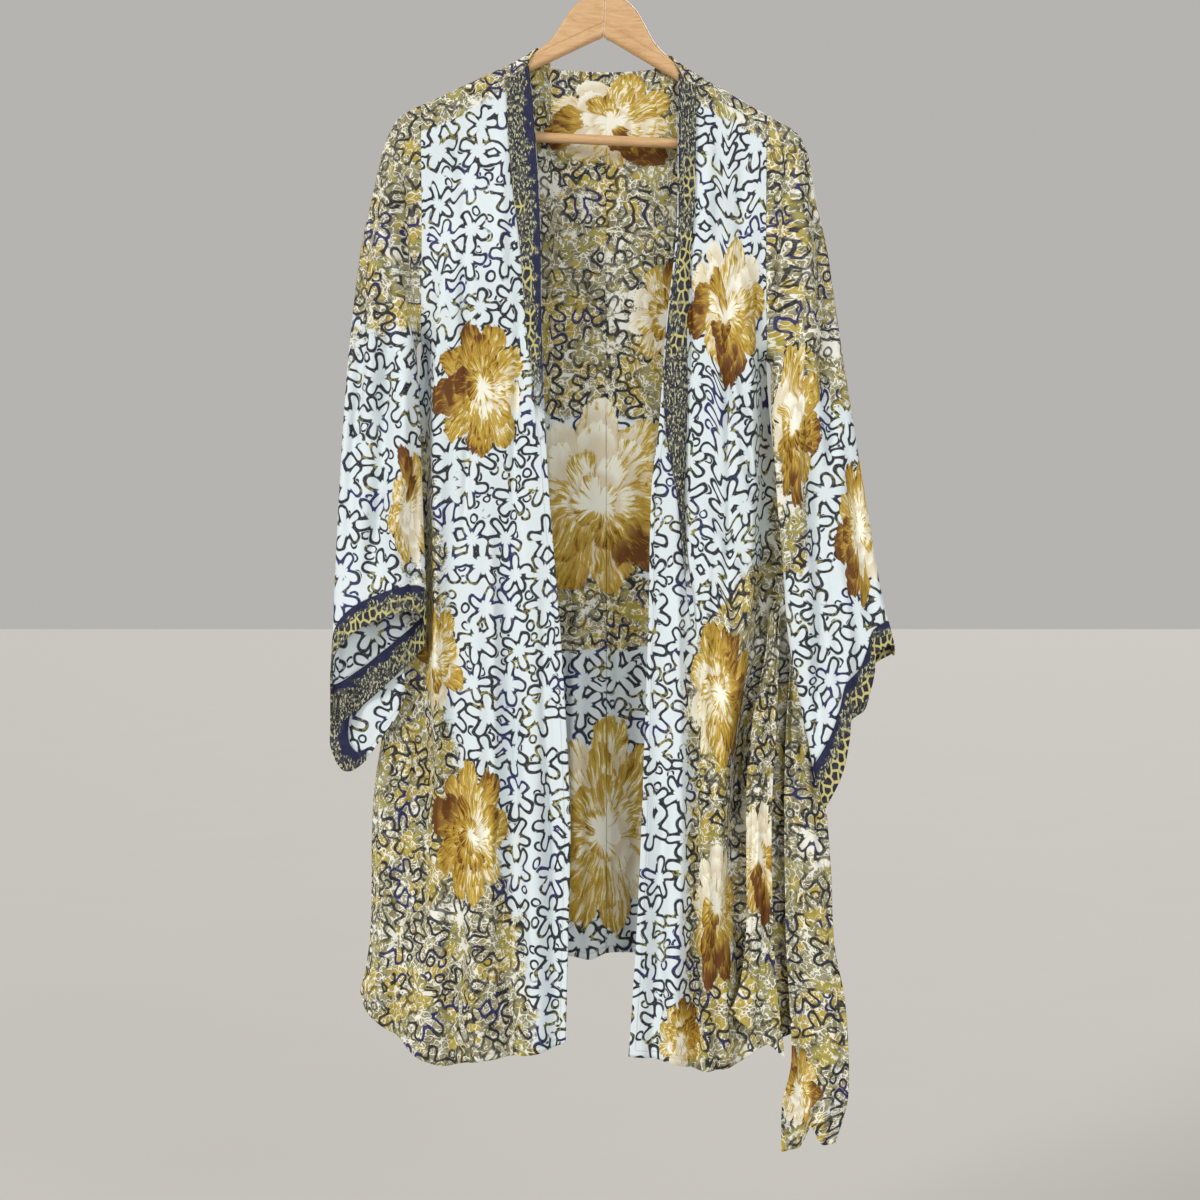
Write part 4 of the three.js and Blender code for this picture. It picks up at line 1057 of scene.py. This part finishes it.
FLOWERS_FRONT_LEFT = (
    (-138, -500, 58, 76, 130, 3.1), (-150, -985, 52, 84, 160, 7.4), (-190, -800, 46, 66, 200, 5.2),
)
FLOWERS_FRONT_RIGHT = (
    (128, -425, 52, 84, 250, 1.7), (122, -832, 46, 84, 30, 8.3), (118, -1066, 40, 84, 300, 4.6),
    (80, -1204, 34, 44, 60, 9.9),
)
FLOWERS_BACK = (
    (4, -203, 84, 58, 270, 2.4), (-14, -620, 104, 122, 285, 6.5), (66, -412, 54, 60, 20, 9.1),
    (-4, -992, 88, 132, 235, 1.3), (-190, -820, 92, 110, 100, 5.9), (180, -700, 92, 110, 220, 7.7),
)
FLOWERS_SLEEVE_LEFT = ((-218, -632, 34, 72, 90, 2.9),)
FLOWERS_SLEEVE_RIGHT = ((200, -544, 34, 92, 270, 4.4), (272, -654, 34, 84, 180, 6.1))
FLOWERS_SLEEVE_BEHIND = ((214, -580, 46, 72, 60, 8.8),)
FLOWERS_SASH = ((166, -1012, 34, 70, 270, 1.2),)
FLOWERS_SASH_LONG = ((206, -1262, 30, 50, 120, 6.7),)

# Boundary between white and olive ground on the fronts, (z, x)
LEFT_BOUND = (
    (-130, -224), (-540, -210), (-620, -186), (-750, -184), (-850, -180), (-930, -150),
    (-1010, -118), (-1100, -92), (-1240, -78),
)
RIGHT_BOUND = (
    (-130, 186), (-600, 186), (-690, 160), (-760, 104), (-850, 90), (-1100, 88), (-1240, 92),
)


# Shares of olive ground: 0 is white, 1 olive
def front_ground(side, points):
    x = points[..., 0]
    z = points[..., 2]
    shoulder = smooth(44, 20, top_line(x) - z)
    if side is LEFT:
        zone = smooth(34, -34, x - read(LEFT_BOUND, z))
    else:
        zone = smooth(-30, 30, x - read(RIGHT_BOUND, z))
    return np.maximum(zone, shoulder)


def back_ground(points):
    x = points[..., 0]
    z = points[..., 2]
    high = smooth(-560, -500, z)
    middle = smooth(-690, -720, z) * smooth(-800, -770, z)
    sides = smooth(90, 150, np.abs(x)) * 0.9
    return np.maximum(np.maximum(high, middle), sides)


def sleeve_ground(points, sign):
    x = points[..., 0]
    z = points[..., 2]
    if sign < 0:
        zone = smooth(-520, -360, z + 0.25 * (x + 250))
        return np.maximum(zone, 0.45 * smooth(-560, -600, z) * smooth(-240, -215, x))
    zone = smooth(-600, -420, z)
    inner = smooth(222, 206, x) * smooth(-720, -680, z)
    return np.maximum(zone, inner)


def stand_for(node, piece, material):
    piece.data.materials.append(material)
    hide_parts(node)


def cut(points, rests_on):
    """Works out a cloth piece's cut width, length and area from its middle surface; the results are left
    unused.
    """
    width = lengths(points, 1)[:, -1].max() / MILLI
    length = lengths(points, 0)[-1].max() / MILLI
    one = np.cross(points[1:, 1:] - points[:-1, :-1], points[1:, :-1] - points[:-1, 1:])
    area = np.linalg.norm(one, axis=-1).sum() / 2 / MILLI**2
    size = (round(float(width), 3) + 0.001, round(float(length), 3) + 0.001)
    area = max(min(float(area), size[0] * size[1]), 0.31 * size[0] * size[1])


def hem_thickness(edge):
    return CLOTH + HEM_EXTRA * smooth(HEM_WIDTH + 0.8, HEM_WIDTH, edge)


def dress_front(side, name, creases, flowers):
    points = front_points(side, creases, FRONT_GRID)
    flat = flat_places(points, side["sign"])
    edge = free_edge(points, ("left", "bottom"))
    ground = front_ground(side, points)
    piece = shell("front_" + name + "_cloth", points, flat, ground, edge, hem_thickness(edge))
    material = print_material("print_front_" + name, placed(points, flat, flowers))
    stand_for("front_" + name, piece, material)
    cut(points, "back_" + name + "_cloth")


def dress_band(side, name, creases):
    points = front_points(side, creases, BAND_GRID, side["band_low"], True)
    middle = normals_of(points, False)[BAND_GRID[1] // 2, BAND_GRID[0] // 2]
    out = -math.copysign(BAND_OUT, middle[1])
    flat = flat_places(points, side["sign"])
    across, _ = shares_of(BAND_GRID)
    edge = free_edge(points, ("left", "right")) + BAND_STITCH
    piece = shell("neck_band_" + name + "_cloth", points, flat, across, edge, BAND_CLOTH, out)
    material = border_material("border_neck_" + name, *side["border"])
    stand_for("neck_band_" + name, piece, material)
    cut(points, "front_" + name + "_cloth")


def dress_back(side, name, creases):
    points = back_points(side, creases)
    flat = flat_places(points, side["sign"])
    edge = free_edge(points, ("bottom",))
    ground = back_ground(points)
    piece = shell("back_" + name + "_cloth", points, flat, ground, edge, hem_thickness(edge))
    material = print_material("print_back_" + name, placed(points, flat, FLOWERS_BACK))
    stand_for("back_" + name, piece, material)
    cut(points, "hanger_arm_" + name + "_wood")


def dress_sleeve(table, sign, name, creases, flowers):
    alongs = np.concatenate([TUCKED_ROWS, np.linspace(0, CUFF_FROM, SLEEVE_ROWS)])
    points = sleeve_points(table, creases, alongs)
    flat = sleeve_flat(points, sign)
    front = np.broadcast_to(np.arange(AROUND + 1) > AROUND // 2 - BEHIND_FOLD, points.shape[:2])
    edge = np.where(front, 90.0, MILLI * BACK_SIDE)
    blooms = placed(points, flat, flowers, front)
    behind = [(x * sign, *rest) for x, *rest in FLOWERS_SLEEVE_BEHIND]
    blooms = blooms + placed(points, flat, behind, ~front, 1.0)
    ground = sleeve_ground(points, sign)
    piece = shell("sleeve_" + name + "_cloth", points, flat, ground, edge, CLOTH, 0.0, True)
    material = print_material("print_sleeve_" + name, blooms)
    stand_for("sleeve_" + name, piece, material)
    cut(points, "front_" + name + "_cloth")


def dress_cuff(table, sign, name, creases):
    points = sleeve_points(table, creases, np.linspace(CUFF_FROM + CUFF_GAP, 1, CUFF_ROWS))
    flat = sleeve_flat(points, sign)
    edge = free_edge(points, ("bottom",))
    down = lengths(points, 0)
    across = down / down[-1:]
    piece = shell("cuff_band_" + name + "_cloth", points, flat, across, edge, CUFF_CLOTH, 0.0, True)
    material = border_material("border_cuff_" + name, 0.25, CUFF_NET[sign], NO_FADE)
    stand_for("cuff_band_" + name, piece, material)
    cut(points, "sleeve_" + name + "_cloth")


def strip_points(table, depth):
    """A small strip of cloth between two edges given by x and z, at a depth, a little uneven."""
    rows = numbered(table)
    u, v = shares_of(FOLD_GRID)
    ax, az, bx, bz = [read(rows, u, c) for c in range(1, 5)]
    y = depth + 1.6 * np.sin(u * 5 + v * 2) + 1.0 * np.sin(v * 4 + u * 9)
    return np.stack([mix(ax, bx, v), y, mix(az, bz, v)], -1)


def dress_cuff_fold():
    """The part of the left cuff that is turned and hangs lower behind its back edge."""
    white = print_material("print_fold", ())
    border = border_material("border_fold", 0.35, (2.0, 3.0), NO_FADE)
    for name, table, depth, start, free, node, slot, material in (
        ("fold_white", FOLD_WHITE, -13.5, 0.0, "bottom", "sleeve_left", "print_sleeve", white),
        ("fold_band", FOLD_BAND, -15.5, 0.75, "top", "cuff_band_left", "band", border),
    ):
        points = strip_points(table, depth)
        across = start * (1 - shares_of(FOLD_GRID)[1])
        edge = free_edge(points, (free,))
        piece = shell("cuff_" + name + "_left_cloth", points, points[..., [0, 2]], across, edge, CLOTH)
        stand_for(node, piece, material)
        cut(points, "sleeve_left_cloth")


def dress_sash(table, notch, name, flowers):
    points = sash_points(table, notch)
    flat = flat_places(points, 1.0)
    edge = free_edge(points, ("left", "right", "bottom"))
    ground = 1.0 - 0.35 * smooth(-1200, -1260, points[..., 2])
    piece = shell("sash_" + name + "_end_cloth", points, flat, ground, edge, CLOTH)
    material = print_material("print_sash_" + name, placed(points, flat, flowers))
    stand_for("sash_" + name + "_end", piece, material)
    cut(points, "belt_loop_cloth")


def tube(centres, radius, sides, squash=1.0):
    """A tube of round sections along a path of points."""
    ahead = np.gradient(centres, axis=0)
    ahead = ahead / np.linalg.norm(ahead, axis=1, keepdims=True)
    aside = np.cross(ahead, np.array([0.0, 1.0, 0.0]))
    weak = np.linalg.norm(aside, axis=1) < 0.1
    aside[weak] = np.cross(ahead[weak], np.array([1.0, 0.0, 0.0]))
    aside = aside / np.linalg.norm(aside, axis=1, keepdims=True)
    other = np.cross(ahead, aside)
    angle = np.linspace(0, 2 * math.pi, sides, endpoint=False)
    ring = np.cos(angle)[:, None] * aside[:, None] + squash * np.sin(angle)[:, None] * other[:, None]
    return centres[:, None] + ring * np.reshape(radius, (-1, 1, 1))


def closed_mesh(name, rings, node, material):
    """A closed mesh from rings of points, with a fan at both ends, that stands for a node."""
    count, sides = rings.shape[:2]
    places = (rings.reshape(-1, 3) / MILLI).tolist()
    faces = []
    for row in range(count - 1):
        for n in range(sides):
            after = (n + 1) % sides
            base = row * sides
            faces.append((base + n, base + after, base + sides + after, base + sides + n))
    for row, order in ((0, -1), (count - 1, 1)):
        middle = len(places)
        places.append((rings[row].mean(axis=0) / MILLI).tolist())
        for n in range(sides):
            pair = (row * sides + n, row * sides + (n + 1) % sides)[::order]
            faces.append((*pair, middle))
    mesh = bpy.data.meshes.new(name)
    mesh.from_pydata(places, [], faces)
    mesh.validate()
    stand_for(node, ridden(name, mesh), material)


def hung(points):
    """Turns points by the hanger's tilt."""
    x = points[..., 0] * math.cos(TILT) + points[..., 2] * math.sin(TILT)
    z = points[..., 2] * math.cos(TILT) - points[..., 0] * math.sin(TILT)
    return np.stack([x, points[..., 1], z], -1)


def dress_arm(sign, name, wood):
    """Wooden arm: rounded sections with a fine groove along the front above its lower edge."""
    inner = [0.2, 0.9, 2.0]
    outer = [179.9, 180.3, 181.0]
    end = np.linspace(183, 197.5, 14)
    widths = np.concatenate([inner, np.linspace(4, 179, 120), outer, end, [198.6, 199]])
    keys, tops, lows = np.array(ARM, float).T
    tops = np.interp(widths, keys, tops)
    lows = np.interp(widths, keys, lows)
    kernel = np.array([1, 2, 3, 2, 1]) / 9
    for _ in range(3):
        for edge in (tops, lows):
            edge[3:122] = np.convolve(np.pad(edge[3:122], 2, mode="edge"), kernel, "valid")
    shrink = np.ones(len(widths))
    shrink[[0, 1, -2, -1]] = (0.93, 0.98, 0.86, 0.6)
    half = np.maximum((tops - lows) / 2, WOOD_HALF * 0.9)[:, None]
    round_by = np.minimum(WOOD_HALF, half)
    middle = ((tops + lows) / 2)[:, None]
    turn = np.linspace(-math.pi / 2, math.pi / 2, 17)
    flat = np.linspace(1, -1, 61)[1:-1]
    ones = np.ones(len(flat))
    over_y = np.concatenate([np.sin(turn), ones, -np.sin(turn), -ones])
    arc_up = np.concatenate([np.cos(turn), 0 * ones, -np.cos(turn), 0 * ones])
    level = np.concatenate([np.ones(len(turn)), flat, -np.ones(len(turn)), -flat])
    y = over_y * WOOD_HALF * shrink[:, None]
    z = level * (half - round_by) + arc_up * round_by
    groove = np.exp(-(((z + half - GROOVE_UP) / GROOVE_WIDE) ** 2)) * (over_y < -0.9)
    y = y + GROOVE_DEEP * groove * (widths < GROOVE_END)[:, None]
    z = middle + z * (0.4 + 0.6 * shrink[:, None])
    x = np.broadcast_to(sign * widths[:, None], y.shape)
    rings = hung(np.stack([x, y, z], -1))
    closed_mesh("hanger_arm_" + name + "_wood", rings, "hanger_arm_" + name, wood)


def dress_bar(wood):
    x = np.concatenate([[-BAR_HALF], np.linspace(-BAR_HALF + 0.3, BAR_HALF - 0.3, 60), [BAR_HALF]])
    radius = np.full(len(x), BAR_RADIUS)
    radius[[0, -1]] = BAR_RADIUS - 0.4
    path = np.stack([x, np.zeros(len(x)), np.full(len(x), BAR_HEIGHT)], -1)
    closed_mesh("hanger_bar_wood", hung(tube(path, radius, 40)), "hanger_bar", wood)


def dress_hook(metal):
    centre = -HOOK_RADIUS + HOOK_WIRE / 2
    angle = np.radians(np.linspace(-50, 205, 90))
    curve = np.stack([HOOK_RADIUS * np.cos(angle), 0 * angle, centre + HOOK_RADIUS * np.sin(angle)], -1)
    start = np.array([0.0, 0.0, -61.7])
    low = np.array([0.0, 0.0, -54.0])
    t = np.linspace(0, 1, 24)[:, None]
    bend = (1 - t) ** 3 * low + 3 * (1 - t) ** 2 * t * (low + [0, 0, 8])
    tangent = np.array([math.sin(angle[0]), 0.0, -math.cos(angle[0])])
    bend = bend + 3 * (1 - t) * t**2 * (curve[0] + tangent * 7) + t**3 * curve[0]
    path = np.concatenate([[start], bend[:-1], curve])
    radius = np.full(len(path), HOOK_WIRE / 2)
    radius[-1] = HOOK_WIRE * 0.3
    closed_mesh("hanger_hook_wire", hung(tube(path, radius, 20)), "hanger_hook", metal)


def dress_loop(thread):
    corners = ((-3, -712), (-8, -713.5), (-12.2, -719), (-12.2, -739), (-8, -745.6), (-3.6, -746.4))
    rows = numbered(corners)
    t = np.linspace(0, 1, 60)
    path = np.stack([np.full(60, LOOP_X + 0.3), read(rows, t, 1), read(rows, t, 2)], -1)
    closed_mesh("belt_loop_cloth", tube(path, LOOP_RADIUS, 14, 0.8), "belt_loop", thread)


def soft_light(name, place, aim, spread, strength, colour=(1.0, 1.0, 1.0)):
    """A wide far light, so that the floor is lit evenly out to the horizon."""
    light = bpy.data.lights.new(name, "SUN")
    light.angle = spread
    light.energy = strength
    light.color = colour
    lamp = bpy.data.objects.new(name, light)
    lamp.location = place
    lamp.rotation_euler = (Vector(aim) - Vector(place)).to_track_quat("-Z", "Y").to_euler()
    bpy.context.scene.collection.objects.link(lamp)


def studio():
    size = FLOOR_HALF
    corners = [(x, y, FLOOR_HEIGHT) for x, y in ((-size, -size), (size, -size), (size, size), (-size, size))]
    floor_mesh = bpy.data.meshes.new("floor")
    floor_mesh.from_pydata(corners, [], [(0, 1, 2, 3)])
    floor = bpy.data.objects.new("floor", floor_mesh)
    bpy.context.scene.collection.objects.link(floor)
    material, g, shader = new_material("floor_paint")
    colour = g.blend(g.noise(g.place(), 3.0), shade(0.79, 0.78, 0.76), shade(0.80, 0.79, 0.77))
    g.fill(shader, {"Base Color": colour, "Roughness": 0.9, "Specular IOR Level": 0.1})
    floor_mesh.materials.append(material)
    world = bpy.data.worlds.new("studio")
    world.use_nodes = True
    background = world.node_tree.nodes["Background"]
    background.inputs["Color"].default_value = shade(0.87, 0.86, 0.845)
    background.inputs["Strength"].default_value = 0.64
    bpy.context.scene.world = world
    soft_light("key", (-2.3, -2.0, 0.7), (0, 0, -0.65), 0.39, 1.85, (1.0, 0.99, 0.97))
    soft_light("fill", (1.5, -2.9, -0.2), (0, 0, -0.8), 0.72, 1.25, (0.98, 0.99, 1.0))
    soft_light("rim", (1.0, 4.2, 1.6), (0, 0, -0.6), 0.66, 1.2)
    bpy.context.scene.view_settings.view_transform = "Standard"


def camera():
    data = bpy.data.cameras.new("camera")
    data.sensor_width = 36
    data.lens = 62.7
    eye = bpy.data.objects.new("camera", data)
    eye.location = (-0.0088, -2.3, -0.731)
    eye.rotation_euler = (math.pi / 2, 0, 0)
    bpy.context.scene.collection.objects.link(eye)
    bpy.context.scene.camera = eye


camera()
studio()
beech = beech_material()
sides = (
    (LEFT, "left", LEFT_CREASES, FLOWERS_FRONT_LEFT),
    (RIGHT, "right", RIGHT_CREASES, FLOWERS_FRONT_RIGHT),
)
for side, name, _, _ in sides:
    dress_arm(side["sign"], name, beech)
dress_bar(beech)
dress_hook(chrome_material())
dress_loop(thread_material())
for side, name, creases, _ in sides:
    dress_back(side, name, creases)
for side, name, creases, flowers in sides:
    dress_front(side, name, creases, flowers)
for side, name, creases, _ in sides:
    dress_band(side, name, creases)
dress_sleeve(SLEEVE_LEFT, -1, "left", SLEEVE_LEFT_CREASES, FLOWERS_SLEEVE_LEFT)
dress_cuff(SLEEVE_LEFT, -1, "left", SLEEVE_LEFT_CREASES)
dress_sleeve(SLEEVE_RIGHT, 1, "right", SLEEVE_RIGHT_CREASES, FLOWERS_SLEEVE_RIGHT)
dress_cuff(SLEEVE_RIGHT, 1, "right", SLEEVE_RIGHT_CREASES)
dress_cuff_fold()
dress_sash(SASH_SHORT, 0, "short", FLOWERS_SASH)
dress_sash(SASH_LONG, 22, "long", FLOWERS_SASH_LONG)
